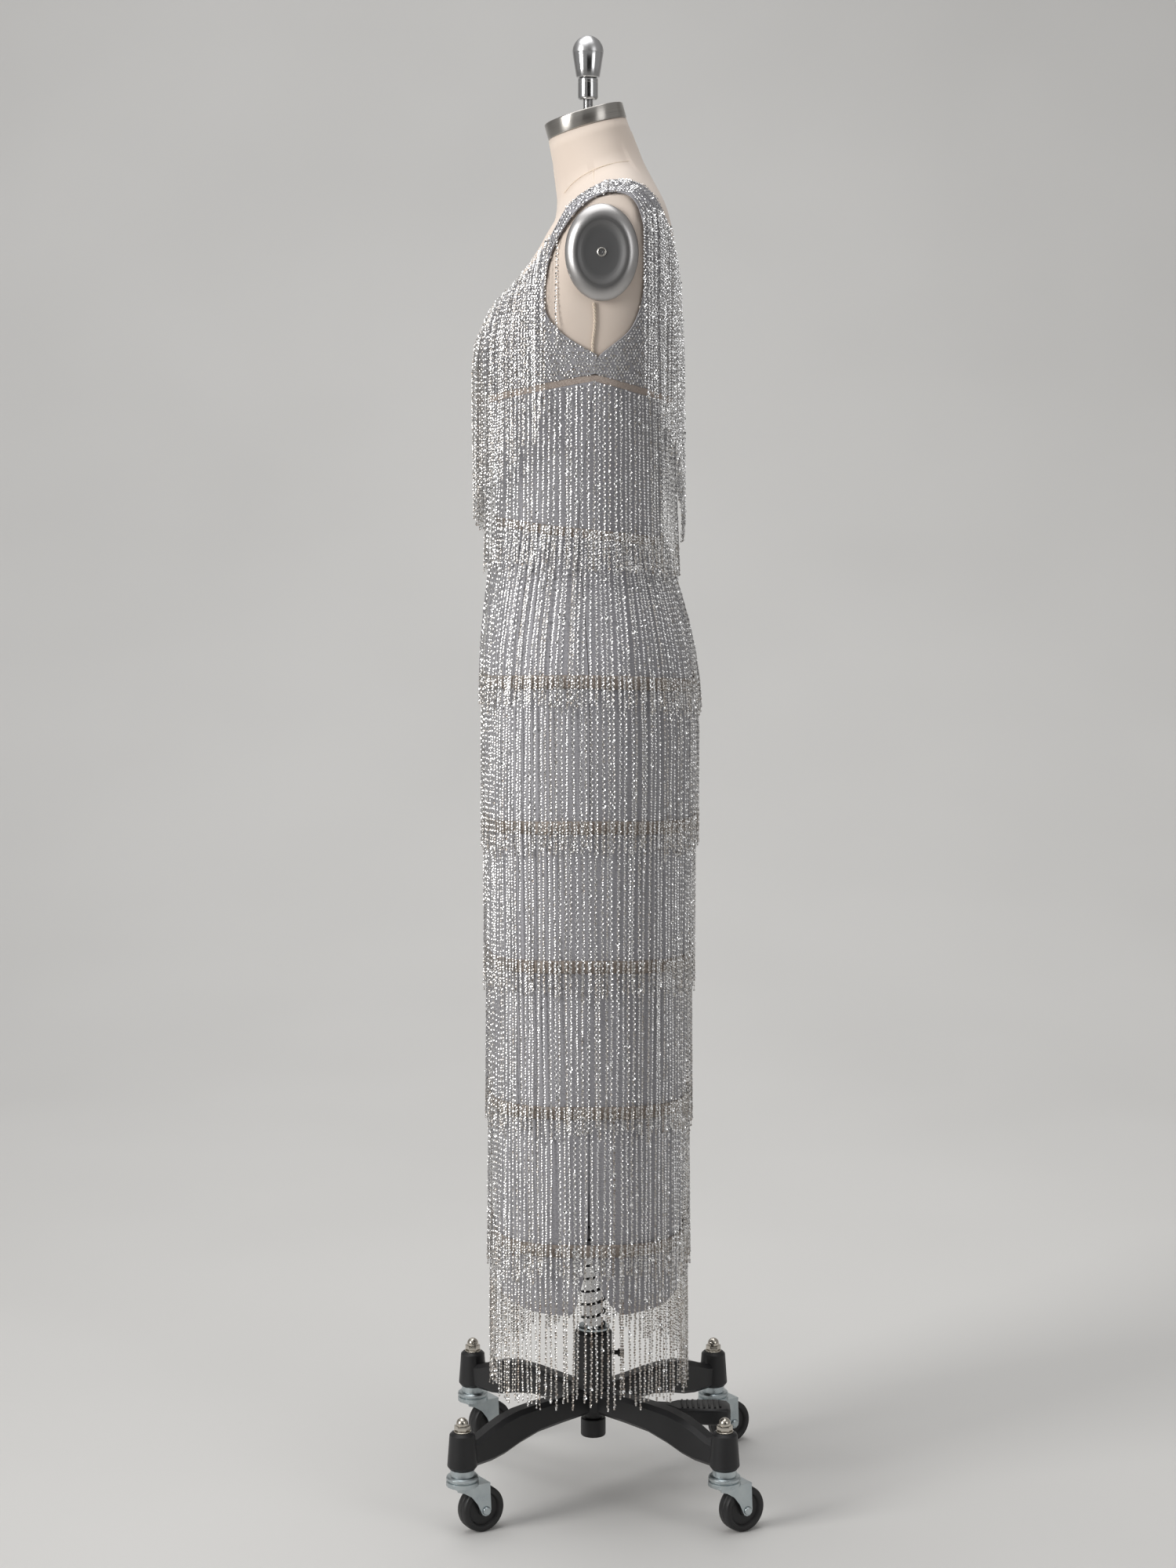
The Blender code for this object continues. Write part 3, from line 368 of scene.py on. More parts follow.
    # cotton cord, cream
    tree, shader = newMaterial("cord", "cream cotton cord", "#DFD1C0", 0.85)
    fibre = noise(tree, 1800.0, 1.0)
    rampInto(shader, "Base Color", fibre, [(0.3, "#D3C3B0"), (0.7, "#E8DCCD")])
    bump(shader, fibre, 0.3, 0.0002)


makeMaterials()
print("materials made:", len(looks))


# ----- dress form -----

formSettings = {"subdivision": 1, "sharpAngle": 28}
facetSettings = {"face": 25, "shape": 50}
capSettings = {"slope": 0.285, "behind": 0.00685, "level": 1.6304, "standOff": 0.0003, "radius": 0.0471,
               "height": 0.018, "crown": 0.003, "segments": 96}


def creased(bm, angle):
    # edges sharper than the angle keep their corner when the mesh is subdivided
    layer = bm.edges.layers.float.get("crease_edge") or bm.edges.layers.float.new("crease_edge")
    for edge in bm.edges:
        if not edge.is_manifold or edge.calc_face_angle(0) > math.radians(angle):
            edge[layer] = 1.0


def smoothed(node, name, look, body, slot, levels, angle):
    # the CAD node with its facets subdivided into a smooth surface
    bm = mergedCopy(node)
    bmesh.ops.join_triangles(bm, faces=bm.faces, angle_face_threshold=math.radians(facetSettings["face"]),
                             angle_shape_threshold=math.radians(facetSettings["shape"]))
    creased(bm, angle)
    obj = makePiece(bm, name, look, body, [node], slot, angle)
    surface = obj.modifiers.new("Smooth", "SUBSURF")
    surface.levels = surface.render_levels = levels
    return obj


def makeNeckCap():
    make = capSettings
    lean, rise = math.atan(make["slope"]), make["standOff"]
    seat = Matrix.Translation((0, pole.y - make["behind"] - rise * math.sin(lean),
                               make["level"] + rise * math.cos(lean)))
    seat = seat @ Matrix.Rotation(lean, 4, "X")
    radius, height, crown = make["radius"], make["height"], make["crown"]
    profile = [(0, height + crown)]
    profile += [(radius * s, height + crown * (1 - s * s)) for s in (0.2, 0.4, 0.6, 0.8, 0.92)]
    profile += [(radius - 0.0009, height + 0.0002), (radius - 0.0003, height - 0.0003), (radius, height - 0.0012),
                (radius, 0.0012), (radius - 0.0004, 0.0004), (radius - 0.0012, 0), (0, 0)]
    makePiece(spun(profile, make["segments"], seat), "neckCap", "ring", "form", ["neck_cap"], "brushed_steel")


def makeKnob():
    make = knobSettings
    knobSeat = Matrix.Translation((0, pole.y - make["behind"], 0))
    profile = [(0, 1.6887), (0.0098, 1.6887), (0.0106, 1.6884), (0.0114, 1.6876), (0.0116, 1.6868), (0.0116, 1.6842),
               (0.01135, 1.6839), (0.01135, 1.6835), (0.0116, 1.6832), (0.0116, 1.6668), (0.0113, 1.6657),
               (0.0104, 1.6645), (0.0098, 1.6640)]
    # the stud below it is threaded
    for i in range(make["threads"]):
        drop = make["threadPitch"] * i
        profile += [(0.0060, 1.6636 - drop), (0.0052, 1.6630 - drop)]
    profile += [(0.0060, 1.6485), (0.0060, 1.6450), (0, 1.6450)]
    makePiece(spun(profile, make["segments"], knobSeat), "knobSleeve", "aluminium", "form", ["knob_sleeve"],
              "polished_metal", 30)
    profile = dome(make["radius"], make["domeFrom"], make["crown"], 10)
    profile += [(0.01800, 1.7182), (0.01775, 1.7178), (0.01775, 1.7174), (0.01795, 1.7170), (0.0137, 1.6905),
                (0.0133, 1.6894), (0.0126, 1.6890), (0, 1.6890)]
    makePiece(spun(profile, make["segments"], knobSeat), "neckKnob", "knob", "form", ["neck_knob"],
              "polished_metal", 45)


def makeArmPlates():
    # the dish is turned as a circle of radius 1 and then scaled to its oval
    make = plateSettings
    dish = [(0, 0.0093), (0.25, 0.0093), (0.46, 0.0094), (0.52, 0.0096), (0.58, 0.0101), (0.63, 0.0106),
            (0.68, 0.0109), (0.73, 0.0109), (0.78, 0.0105), (0.83, 0.0096), (0.88, 0.0082), (0.92, 0.0068),
            (0.955, 0.0052), (0.98, 0.0037), (0.995, 0.0024), (1.0, 0.0015), (0.997, 0.0007), (0.985, 0), (0, 0)]
    for side, name in ((1, "left"), (-1, "right")):
        outward = Matrix.Rotation(side * math.pi / 2, 4, "Y")
        place = Matrix.Translation((side * make["side"], pole.y + make["behind"], make["level"])) @ outward
        place = place @ Matrix.Diagonal((make["tall"], make["wide"], 1, 1))
        makePiece(spun(dish, 96, place), "armPlate_" + name, "dish", "form", ["arm_plate_" + name],
                  "brushed_steel", 50)
        place = Matrix.Translation((side * make["screwSide"], pole.y + make["behind"], make["level"])) @ outward
        core = spun([(0, 0.0079), (0.0010, 0.0079), (0.0013, 0.0084), (0.0030, 0.0084), (0.0034, 0.0080),
                     (0.0034, 0.0074), (0, 0.0074)], 32, place)
        # the screw's core takes the dish's darkest centre colour, a painted shade, so the bright screw head stands out
        # round it
        makePiece(core, "armScrewCore_" + name, "dish", "form", slot="polished_metal", smoothAngle=35)
        head = spun([(0.0035, 0.0074), (0.0035, 0.0086), (0.0038, 0.0091), (0.0044, 0.0093), (0.0050, 0.0090),
                     (0.0053, 0.0083), (0.0053, 0.0074), (0.0035, 0.0074)], 40, place)
        makePiece(head, "armScrew_" + name, "ring", "form", ["arm_screw_" + name], "polished_metal", 35)


cordSettings = {"top": 1.4235, "length": 0.057, "steps": 84, "twist": 0.55, "radius": 0.00082, "away": 0.0015,
                "thick": 0.0008, "across": 0.0009, "stray": 0.0013, "strayRate": 95}
seamSettings = {"radius": 0.0006, "steps": 60, "ringRadius": 0.0007, "ringLevel": 1.567, "ringSide": 0.012,
                "ringDrop": 0.024, "ringSteps": 96}


def makeFormTrim():
    # twisted cord of two strands down each side seam
    make = cordSettings
    tree = treeOf("dress_form_torso")
    parts = []
    for side in (1, -1):
        for strand in (0, math.pi):
            points = []
            for i in range(make["steps"] + 1):
                level = make["top"] - make["length"] * i / make["steps"]
                hit, away = outside(tree, side * math.pi / 2, level)
                twist = i * make["twist"] + strand
                stray = make["across"] * math.sin(twist) + make["stray"] * math.sin(level * make["strayRate"])
                points.append(hit + away * (make["away"] + make["thick"] * math.cos(twist)) + Vector((0, stray, 0)))
            parts.append(tube(points, make["radius"]))
    makePiece(joined(parts), "sideSeamCord", "cord", "form", slot="form_jersey")

    # the cover's seams: centre front, centre back, shoulders and the ring round the neck
    make = seamSettings
    parts = []
    for angle, low, high in ((0, 1.40, 1.628), (180, 1.38, 1.628), (90, 1.56, 1.579), (-90, 1.56, 1.579)):
        points = [outside(tree, math.radians(angle), low + (high - low) * i / make["steps"])[0]
                  for i in range(make["steps"] + 1)]
        parts.append(tube(points, make["radius"]))
    points = []
    for i in range(make["ringSteps"] + 1):
        angle = 2 * math.pi * i / make["ringSteps"]
        level = make["ringLevel"] + make["ringSide"] * math.sin(angle) ** 2 - make["ringDrop"] * math.cos(angle)
        points.append(outside(tree, angle, level)[0])
    parts.append(tube(points, make["ringRadius"]))
    makePiece(joined(parts), "coverSeams", "cord", "form", slot="form_jersey")


smoothed("dress_form_torso", "jerseyTorso", "jersey", "form", "form_jersey",
         formSettings["subdivision"], formSettings["sharpAngle"])
makeNeckCap()
makeKnob()
makeArmPlates()
makeFormTrim()
print("dress form made")


# ----- cloth of the dress -----

clothSettings = {
    "bodice_front": {"name": "bodiceFront", "flat": (0.50, 0.26), "area": 0.053},
    "bodice_back": {"name": "bodiceBack", "flat": (0.46, 0.26), "area": 0.048},
    "midriff_front": {"name": "midriffFront", "flat": (0.40, 0.15), "area": 0.051},
    "midriff_back": {"name": "midriffBack", "flat": (0.38, 0.17), "area": 0.056},
    "skirt_front": {"name": "skirtFront", "flat": (0.49, 0.93), "area": 0.417},
    "skirt_back": {"name": "skirtBack", "flat": (0.49, 0.92), "area": 0.412},
}
fluteSettings = {"below": 0.83, "over": 0.5, "count": 11, "depth": 0.0022}
clothLevels, clothAngle = 2, 50


def settle(obj):
    # turns the live modifiers into the mesh, so that folds can be laid on it
    mesh = bpy.data.meshes.new_from_object(obj.evaluated_get(bpy.context.evaluated_depsgraph_get()))
    old = obj.data
    obj.modifiers.clear()
    obj.data = mesh
    bpy.data.meshes.remove(old)


def layFlutes(obj):
    # soft folds that open towards the hem: they only sink inwards, so the fringe stays clear
    make = fluteSettings
    points = np.empty(len(obj.data.vertices) * 3)
    obj.data.vertices.foreach_get("co", points)
    points = points.reshape(-1, 3)
    flat = points[:, :2] - np.array([pole.x, pole.y])
    angle = np.arctan2(flat[:, 0], -flat[:, 1])
    drop = np.clip((make["below"] - points[:, 2]) / make["over"], 0, 1)
    wave = (0.5 - 0.5 * np.cos(make["count"] * angle + 0.9 * np.sin(3 * angle))) * drop
    wave *= 0.75 + 0.25 * np.sin(5 * angle + 9 * points[:, 2])
    away = flat / np.linalg.norm(flat, axis=1)[:, None]
    points[:, :2] -= away * (wave * make["depth"])[:, None]
    obj.data.vertices.foreach_set("co", points.ravel())
    obj.data.update()


band = smoothed("underbust_band", "underbustTape", "tape", "form", "mesh_tape", clothLevels, clothAngle)
for nodeName, cut in clothSettings.items():
    piece = smoothed(nodeName, cut["name"], "knit", "form", "sequin_knit", clothLevels, clothAngle)
    if nodeName.startswith("skirt"):
        bpy.context.view_layer.update()
        settle(piece)
        layFlutes(piece)
print("cloth made")


# ----- sequins -----

# what the fringes share: a tone of 0 is a mirror, and above it the film goes from bright to dull and warm, "warm"
# is added where a strand laps the next row, and "jitter" is in its length
sequinSettings = {
    "spacing": 0.0067, "radius": 0.0015, "size": 1, "pitch": 0.0032, "zigzag": 0.0003, "cup": 0.5, "mirrors": 0.03,
    "mirrorSize": 1.5, "tone": 0.34, "strandTone": 0.11, "toneSpread": 0.12, "leastTone": 0.08, "warm": 0.2,
    "warmFrom": 0.8, "lapShare": 0.06, "inset": 0.0010, "lean": 0, "rayStep": 0.002, "alternate": math.radians(12),
    "tip": math.radians(9), "scatter": 0.14, "turn": 0.12, "twist": 0.14, "sizes": (0.92, 1.06),
    "angleJitter": 0.006, "jitter": 0.006, "longShare": 0.06, "longer": 0.008, "sway": 0.0008, "lift": 0.0006,
    "beadRadius": 0.0013, "beadDrop": 0.0024, "beadTones": (0.2, 0.8),
}
# mirrors are put more often at a strand's end, and round the front of the hip and waist as painted glints, where the
# key light catches the hip
brightSettings = {"endFrom": 0.93, "endMore": 1.2, "y": -0.085, "deep": 0.045, "level": 1.17, "tall": 0.12,
                  "more": 2.0}
fullTurn = 6.28


def arraysOf(bm):
    bm.verts.index_update()
    points = np.array([v.co[:] for v in bm.verts])
    faces = np.array([[v.index for v in f.verts] for f in bm.faces])
    bm.free()
    return points, faces


def sequinShape():
    # a six-sided cup of radius 1
    bm = bmesh.new()
    bmesh.ops.create_circle(bm, cap_ends=True, segments=6, radius=1)
    bmesh.ops.poke(bm, faces=bm.faces, offset=-sequinSettings["cup"])
    bmesh.ops.triangulate(bm, faces=bm.faces)
    return arraysOf(bm)


def beadShape():
    bm = bmesh.new()
    bmesh.ops.create_icosphere(bm, subdivisions=1, radius=1)
    return arraysOf(bm)


def scatter(name, shape, centres, frames, sizes, tones):
    # one mesh of many copies: each has a centre, a 3 x 3 frame, a size and a tone
    points, faces = shape
    count = len(centres)
    placed = np.einsum("vk,nkj->nvj", points, frames) * sizes[:, None, None] + centres[:, None, :]
    corner = (faces[None] + (np.arange(count) * len(points))[:, None, None]).reshape(-1)
    mesh = bpy.data.meshes.new(name)
    mesh.vertices.add(count * len(points))
    mesh.vertices.foreach_set("co", placed.astype(np.float32).ravel())
    mesh.loops.add(len(corner))
    mesh.loops.foreach_set("vertex_index", corner.astype(np.int32))
    mesh.polygons.add(count * len(faces))
    mesh.polygons.foreach_set("loop_start", np.arange(0, len(corner), 3, dtype=np.int32))
    mesh.update(calc_edges=True)
    attribute = mesh.attributes.new("tone", "FLOAT", "POINT")
    attribute.data.foreach_set("value", np.repeat(tones, len(points)).astype(np.float32))
    return mesh


def turnedFrames(sideways, down, outwards, aboutDown, aboutSide):
    # rows are where the copy's own X, Y and Z go, after two small turns
    c, s = np.cos(aboutDown)[:, None], np.sin(aboutDown)[:, None]
    x, z = sideways * c - outwards * s, sideways * s + outwards * c
    c, s = np.cos(aboutSide)[:, None], np.sin(aboutSide)[:, None]
    y, z = down * c + z * s, z * c - down * s
    return np.stack([x, y, z], axis=1)


def unit(rows):
    # each row at length 1
    return rows / np.maximum(np.linalg.norm(rows, axis=1), 1e-9)[:, None]


# where a fringe differs from sequinSettings
fringeSettings = {
    # painted light: the front neck fringe gets a darker tone as painted shade, and the back one a lighter tone and
    # more mirrors as painted light and glints on the side the lamps reach less
    "fringe_neck_front": {"spacing": 0.0042, "jitter": 0.010, "warm": 0, "sway": 0.0010, "size": 0.9, "tone": 0.52},
    "fringe_neck_back": {"spacing": 0.0043, "jitter": 0.012, "warm": 0, "sway": 0.0012, "size": 0.93,
                         "lean": 0.014, "tone": 0.15, "mirrors": 0.10},
    "fringe_underbust": {"spacing": 0.0066, "warm": 0.18},
    "fringe_tier_1": {"jitter": 0.007, "warm": 0.18},
    "fringe_tier_2": {"sway": 0.0007},
    "fringe_tier_3": {"sway": 0.0007},
    "fringe_tier_4": {"jitter": 0.007},
    "fringe_tier_5": {"jitter": 0.008},
    "fringe_tier_6": {"jitter": 0.009, "warm": 0.3, "sway": 0.0010, "warmFrom": 0.3},
}


def columnHits(tree, angle, low, high, step=sequinSettings["rayStep"]):
    # the wall's points from its head down, until it ends
    found = []
    for level in np.arange(high - 0.0005, low, -step):
        hit = outside(tree, angle, float(level))[0]
        if hit is not None:
            found.append(hit)
        elif found:
            break
    return found


def strandAngles(tree, low, high, spacing):
    # angles one strand apart along the widest outline of the wall, in runs where the wall is there
    fine = np.radians(np.arange(0, 360.001, 1.0))
    reach = []
    for angle in fine:
        best = 0.0
        for level in np.linspace(low + 0.004, high - 0.004, 9):
            hit = outside(tree, float(angle), float(level))[0]
            if hit is not None:
                best = max(best, (hit.xy - pole.xy).length)
        reach.append(best)
    angles, travelled = [], spacing / 2
    for i in range(len(fine) - 1):
        if reach[i] == 0 or reach[i + 1] == 0:
            continue
        a = np.array([math.sin(fine[i]), math.cos(fine[i])]) * reach[i]
        b = np.array([math.sin(fine[i + 1]), math.cos(fine[i + 1])]) * reach[i + 1]
        length = float(np.linalg.norm(b - a))
        while travelled <= length:
            angles.append(fine[i] + (fine[i + 1] - fine[i]) * travelled / length)
            travelled += spacing
        travelled -= length
    return angles


loneSettings = {"y": -0.0568, "top": 1.5035, "end": 1.369, "clear": 0.0024}
fewestSteps = 6


def strandPaths(node, tree, make, dice):
    # the angle and the points of each strand, top first
    low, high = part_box(node)
    paths = []
    for angle in strandAngles(tree, low.z, high.z, make["spacing"]):
        angle += dice.normal(0, make["angleJitter"])
        hits = columnHits(tree, angle, low.z, high.z)
        if len(hits) < fewestSteps:
            continue
        path = np.array([h[:] for h in hits])
        away = np.array([math.sin(angle), -math.cos(angle), 0.0])
        path += away * (make["lean"] * (path[0, 2] - path[:, 2]) - make["inset"])[:, None]
        paths.append((angle, path))
    if node == "fringe_neck_front":
        # one strand apart from the rest crosses the front of each armhole
        cloth = treeOf("bodice_front", "dress_form_torso")
        for side in (1, -1):
            reach, points = 0.0, []
            for level in np.arange(loneSettings["top"], loneSettings["end"], -sequinSettings["rayStep"]):
                start = Vector((side * 0.3, loneSettings["y"], level))
                hit = cloth.ray_cast(start, Vector((-side, 0, 0)), 0.3)[0]
                reach = max(reach, abs(hit.x) + loneSettings["clear"])
                points.append((side * reach, loneSettings["y"], level))
            paths.append((math.atan2(side * reach, pole.y - loneSettings["y"]), np.array(points)))
    return paths


def recut(path, extra):
    # a strand's points made longer or shorter at its end
    step = sequinSettings["rayStep"]
    if extra > 0:
        tail = path[-1] + np.outer(np.arange(1, int(extra / step) + 2) * step, [0, 0, -1.0])
        return np.vstack([path, tail])
    return path[:max(fewestSteps, len(path) + int(extra / step))]


def makeFringe(node, seed):
    make, bright = {**sequinSettings, **fringeSettings[node]}, brightSettings
    dice = np.random.default_rng(seed)
    tree = treeOf(node)
    pitch = make["pitch"]
    centres, down, tones, order, turns = [], [], [], [], []
    ends, endTones = [], []
    for angle, path in strandPaths(node, tree, make, dice):
        away = np.array([math.sin(angle), -math.cos(angle), 0.0])
        side = np.array([math.cos(angle), math.sin(angle), 0.0])
        extra = dice.uniform(-make["jitter"], make["jitter"]) + (dice.random() < make["longShare"]) * make["longer"]
        path = recut(path, extra)
        length = np.concatenate([[0], np.cumsum(np.linalg.norm(np.diff(path, axis=0), axis=1))])
        count = int(length[-1] / pitch)
        # each strand starts at its own height, so rows never line up across the fringe
        along = (np.arange(count) + dice.random()) * pitch
        spots = np.stack([np.interp(along, length, path[:, k]) for k in range(3)], axis=1)
        share = along / length[-1]
        wave = np.sin(share * dice.uniform(3, 7) + dice.uniform(0, fullTurn)) * share * make["sway"]
        lift = np.sin(share * dice.uniform(2, 5) + dice.uniform(0, fullTurn)) * share * make["lift"]
        spots += side * wave[:, None] + away * lift[:, None]
        alternate = np.where(np.arange(count) % 2 == 0, 1.0, -1.0)
        spots += side * (alternate * make["zigzag"])[:, None]
        centres.append(spots)
        down.append(unit(np.gradient(spots, axis=0)))
        order.append(alternate)
        turns.append(dice.normal(0, make["turn"])
                     + make["twist"] * np.sin(share * dice.uniform(4, 12) + dice.uniform(0, fullTurn)))
        lap = np.clip((share - make["warmFrom"]) / make["lapShare"], 0, 1) * make["warm"]
        tone = make["tone"] + dice.normal(0, make["strandTone"])
        tone = np.clip(tone + dice.normal(0, make["toneSpread"], count) + lap, make["leastTone"], 1)
        # painted glints: more mirror sequins round the front of the hip and waist, where the key light makes
        # highlights
        hipGlint = np.exp(-((spots[:, 1] - bright["y"]) / bright["deep"]) ** 2
                      - ((spots[:, 2] - bright["level"]) / bright["tall"]) ** 2)
        more = bright["endMore"] * (share > bright["endFrom"]) + bright["more"] * hipGlint
        mirrored = dice.random(count) < make["mirrors"] * (1 + more)
        tones.append(np.where(mirrored, 0.0, tone))
        ends.append(spots[-1] - np.array([0, 0, make["beadDrop"]]))
        endTones.append(dice.uniform(*make["beadTones"]))
    centres, down = np.vstack(centres), np.vstack(down)
    order, tones, turns = np.concatenate(order), np.concatenate(tones), np.concatenate(turns)
    flat = centres - np.array([pole.x, pole.y, 0])
    flat[:, 2] = 0
    outwards = unit(flat)
    sideways = unit(np.cross(down, outwards))
    outwards = np.cross(sideways, down)
    count = len(centres)
    turns += order * make["alternate"]
    frames = turnedFrames(sideways, down, outwards, turns + dice.normal(0, make["scatter"], count),
                          make["tip"] + dice.normal(0, make["scatter"], count))
    sizes = make["radius"] * make["size"] * dice.uniform(*make["sizes"], count)
    sizes *= np.where(tones == 0, make["mirrorSize"], 1)
    strands = scatter(node + "_strands", sequinShape(), centres, frames, sizes, tones)
    ends = np.array(ends)
    beads = scatter(node + "_beads", beadShape(), ends, np.tile(np.eye(3), (len(ends), 1, 1)),
                    np.full(len(ends), make["beadRadius"]), np.array(endTones))
    bm = bmesh.new()
    bm.from_mesh(strands)
    bm.from_mesh(beads)
    name = node.replace("fringe_", "strands_")
    piece = makePiece(bm, name, "sequin", "form", [node], "sequin_fringe", None)
    print(name, "strands", len(ends), "sequins", count, "triangles", len(piece.data.polygons))
    return piece, tree


headerSettings = {"width": 0.015, "waistWidth": 0.0105, "thickness": 0.0004, "standOff": 0.0001, "steps": 120,
                  "above": 0.0006}


def makeHeader(node, tree, under):
    # the woven tape that the strands hang from
    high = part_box(node)[1]
    below = treeOf(*under)
    make = headerSettings
    width = make["waistWidth" if node == "fringe_tier_1" else "width"]
    steps = make["steps"]
    heads = []
    for i in range(steps):
        hits = columnHits(tree, 2 * math.pi * i / steps, high.z - 0.05, high.z, 0.001)
        heads.append(hits[0].z if hits else high.z)
    bm = bmesh.new()
    bmesh.ops.create_grid(bm, x_segments=steps, y_segments=3, size=0.5)
    for vert in bm.verts:
        i = round((vert.co.x + 0.5) * steps)
        level = heads[i % steps] + make["above"] - width * (0.5 - vert.co.y)
        hit, away = onCloth(below, 2 * math.pi * i / steps, level)
        vert.co = hit + away * make["standOff"]
    closed(bm)
    name = node.replace("fringe_", "header_")
    ring = [onCloth(below, 2 * math.pi * i / 60, high.z - 0.008)[0] for i in range(61)]
    obj = makePiece(bm, name, "header", "form", slot="mesh_tape")
    wall = obj.modifiers.new("Wall", "SOLIDIFY")
    wall.thickness = make["thickness"]
    wall.offset = 1


for seed, nodeName in enumerate(fringeSettings):
    strands, wallTree = makeFringe(nodeName, 40 + seed)
    if nodeName.startswith("fringe_tier"):
        makeHeader(nodeName, wallTree, ["skirt_front", "skirt_back", "midriff_front", "midriff_back"])
print("fringe made")


# the straps, above strapFrom, carry larger and brighter ones
embroiderySettings = {
    "across": 0.0034, "down": 0.0031, "jitter": 0.0006, "radius": 0.0014, "lift": 0.0006, "steep": 0.55, "facing": 0.2,
    "girthRadius": 0.14, "missing": 0.08, "strapFrom": 1.41, "strapTo": 1.45, "strapRadius": 0.0016, "tilt": 0.15,
    "tip": 0.08, "sizes": (0.8, 1.05), "tone": 0.42, "toneSpread": 0.16, "strapBright": 0.22, "mirrors": 0.035,
    "strapMirrors": 0.03,
}
strapTopSettings = {"half": 0.168, "across": 0.0031, "down": 0.0032, "jitter": 0.0005, "deep": 0.09}


def makeEmbroidery(node, name, seed):
    # small flat sequins sewn all over the knit
    make = embroiderySettings
    dice = np.random.default_rng(seed)
    tree = treeOf(node)
    low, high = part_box(node)
    centres, outs = [], []
    for row, level in enumerate(np.arange(low.z + 0.001, high.z - 0.001, make["down"])):
        step = make["across"] / make["girthRadius"]
        for angle in np.arange((row % 2) * step / 2, 2 * math.pi, step):
            away = awayAt(angle)
            rise = dice.uniform(-make["jitter"], make["jitter"])
            start = Vector((pole.x, pole.y, level + rise)) + away * rayLength
            hit, normal = tree.ray_cast(start, -away, 0.39)[:2]
            if hit is None or dice.random() < make["missing"]:
                continue
            if normal.z > make["steep"] or normal.dot(away) < make["facing"]:
                continue
            centres.append(hit + normal * make["lift"])
            outs.append(normal)
    # the tops of the straps face upwards, so they are filled from above
    top = strapTopSettings
    for row, x in enumerate(np.arange(-top["half"], top["half"], top["across"])):
        for y in np.arange(low.y + (row % 2) * top["down"] / 2, high.y, top["down"]):
            start = Vector((x + dice.uniform(-top["jitter"], top["jitter"]), y, high.z + 0.05))
            hit, normal = tree.ray_cast(start, Vector((0, 0, -1)), 0.3)[:2]
            if hit is None or normal.z <= make["steep"] or hit.z < high.z - top["deep"]:
                continue
            centres.append(hit + normal * make["lift"])
            outs.append(normal)
    centres, outs = np.array([c[:] for c in centres]), unit(np.array([n[:] for n in outs]))
    sideways = unit(np.cross(np.tile([0.0, 0, -1.0], (len(outs), 1)), outs))
    down = np.cross(outs, sideways)
    count = len(centres)
    strap = np.clip((centres[:, 2] - make["strapFrom"]) / (make["strapTo"] - make["strapFrom"]), 0, 1)
    frames = turnedFrames(sideways, down, outs, dice.normal(0, make["tilt"], count),
                          make["tip"] + dice.normal(0, make["tilt"], count))
    mirrored = dice.random(count) < make["mirrors"] + make["strapMirrors"] * strap
    tones = dice.normal(make["tone"], make["toneSpread"], count) - make["strapBright"] * strap
    tones = np.where(mirrored, 0.0, np.clip(tones, sequinSettings["leastTone"], 1))
    sizes = make["radius"] + (make["strapRadius"] - make["radius"]) * strap
    sizes *= dice.uniform(*make["sizes"], count)
    mesh = scatter(name, sequinShape(), centres, frames, sizes, tones)
    makeObject(mesh, name, "sequin", "form", slot="sequin_knit", smoothAngle=None)
    print(name, "sequins", count)


makeEmbroidery("bodice_front", "embroideryFront", 71)
makeEmbroidery("bodice_back", "embroideryBack", 72)
print("embroidery made")


# ----- stand -----

# node, piece, look, body, slot and the width of its rounded edges
standPieces = [
    ("base_casting", "baseCasting", "iron", "stand", "black_iron", 0.0010),
    ("hub_cap", "hubCap", "iron", "stand", "black_iron", 0.0006),
    ("lower_tube", "lowerTube", "aluminium", "stand", "polished_metal", 0.0003),
    ("telescopic_rod", "telescopicRod", "aluminium", "rod", "polished_metal", 0.0004),
    ("foot_pedal", "footPedal", "iron", "pedal", "black_iron", 0.0010),
    ("height_thumbscrew", "heightThumbscrew", "iron", "thumbscrew", "black_iron", 0.0003),
]


def rounded(bm, edges, offset, segments=2):
    bmesh.ops.bevel(bm, geom=edges, offset=offset, offset_type="OFFSET", affect="EDGES", segments=segments,
                    profile=0.5, material=-1)


coilSettings = {"wire": 0.0011, "pitch": 0.016, "steps": 32}


def makeCoil():
    make = coilSettings
    low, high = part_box("pole_coil")
    turns = (high.z - low.z - 2 * make["wire"]) / make["pitch"]
    radius = (high.x - low.x) / 2 - make["wire"]
    points = []
    for i in range(int(turns * make["steps"]) + 1):
        angle = 2 * math.pi * i / make["steps"]
        points.append((pole.x + radius * math.cos(angle), pole.y + radius * math.sin(angle),
                       low.z + make["wire"] + make["pitch"] * i / make["steps"]))
    makePiece(tube(points, make["wire"], 12), "cushionCoil", "iron", "stand", ["pole_coil"], "black_iron")


def makeSocketRing():
    # the pressed ring where the tube stands in its socket
    profile = [(0.0124, 0.2042), (0.0192, 0.2042), (0.0200, 0.2036), (0.0200, 0.2014), (0.0192, 0.2006),
               (0.0124, 0.2006), (0.0124, 0.2042)]
    makePiece(spun(profile, 48, Matrix.Translation(pole)), "socketRing", "zinc", "stand", slot="zinc")


ribSettings = {"count": 8, "long": 0.030, "lastLong": 0.024, "wide": 0.0026, "high": 0.0022, "from": 0.1085,
               "pitch": 0.0066, "level": 0.1054, "edge": 0.0006}


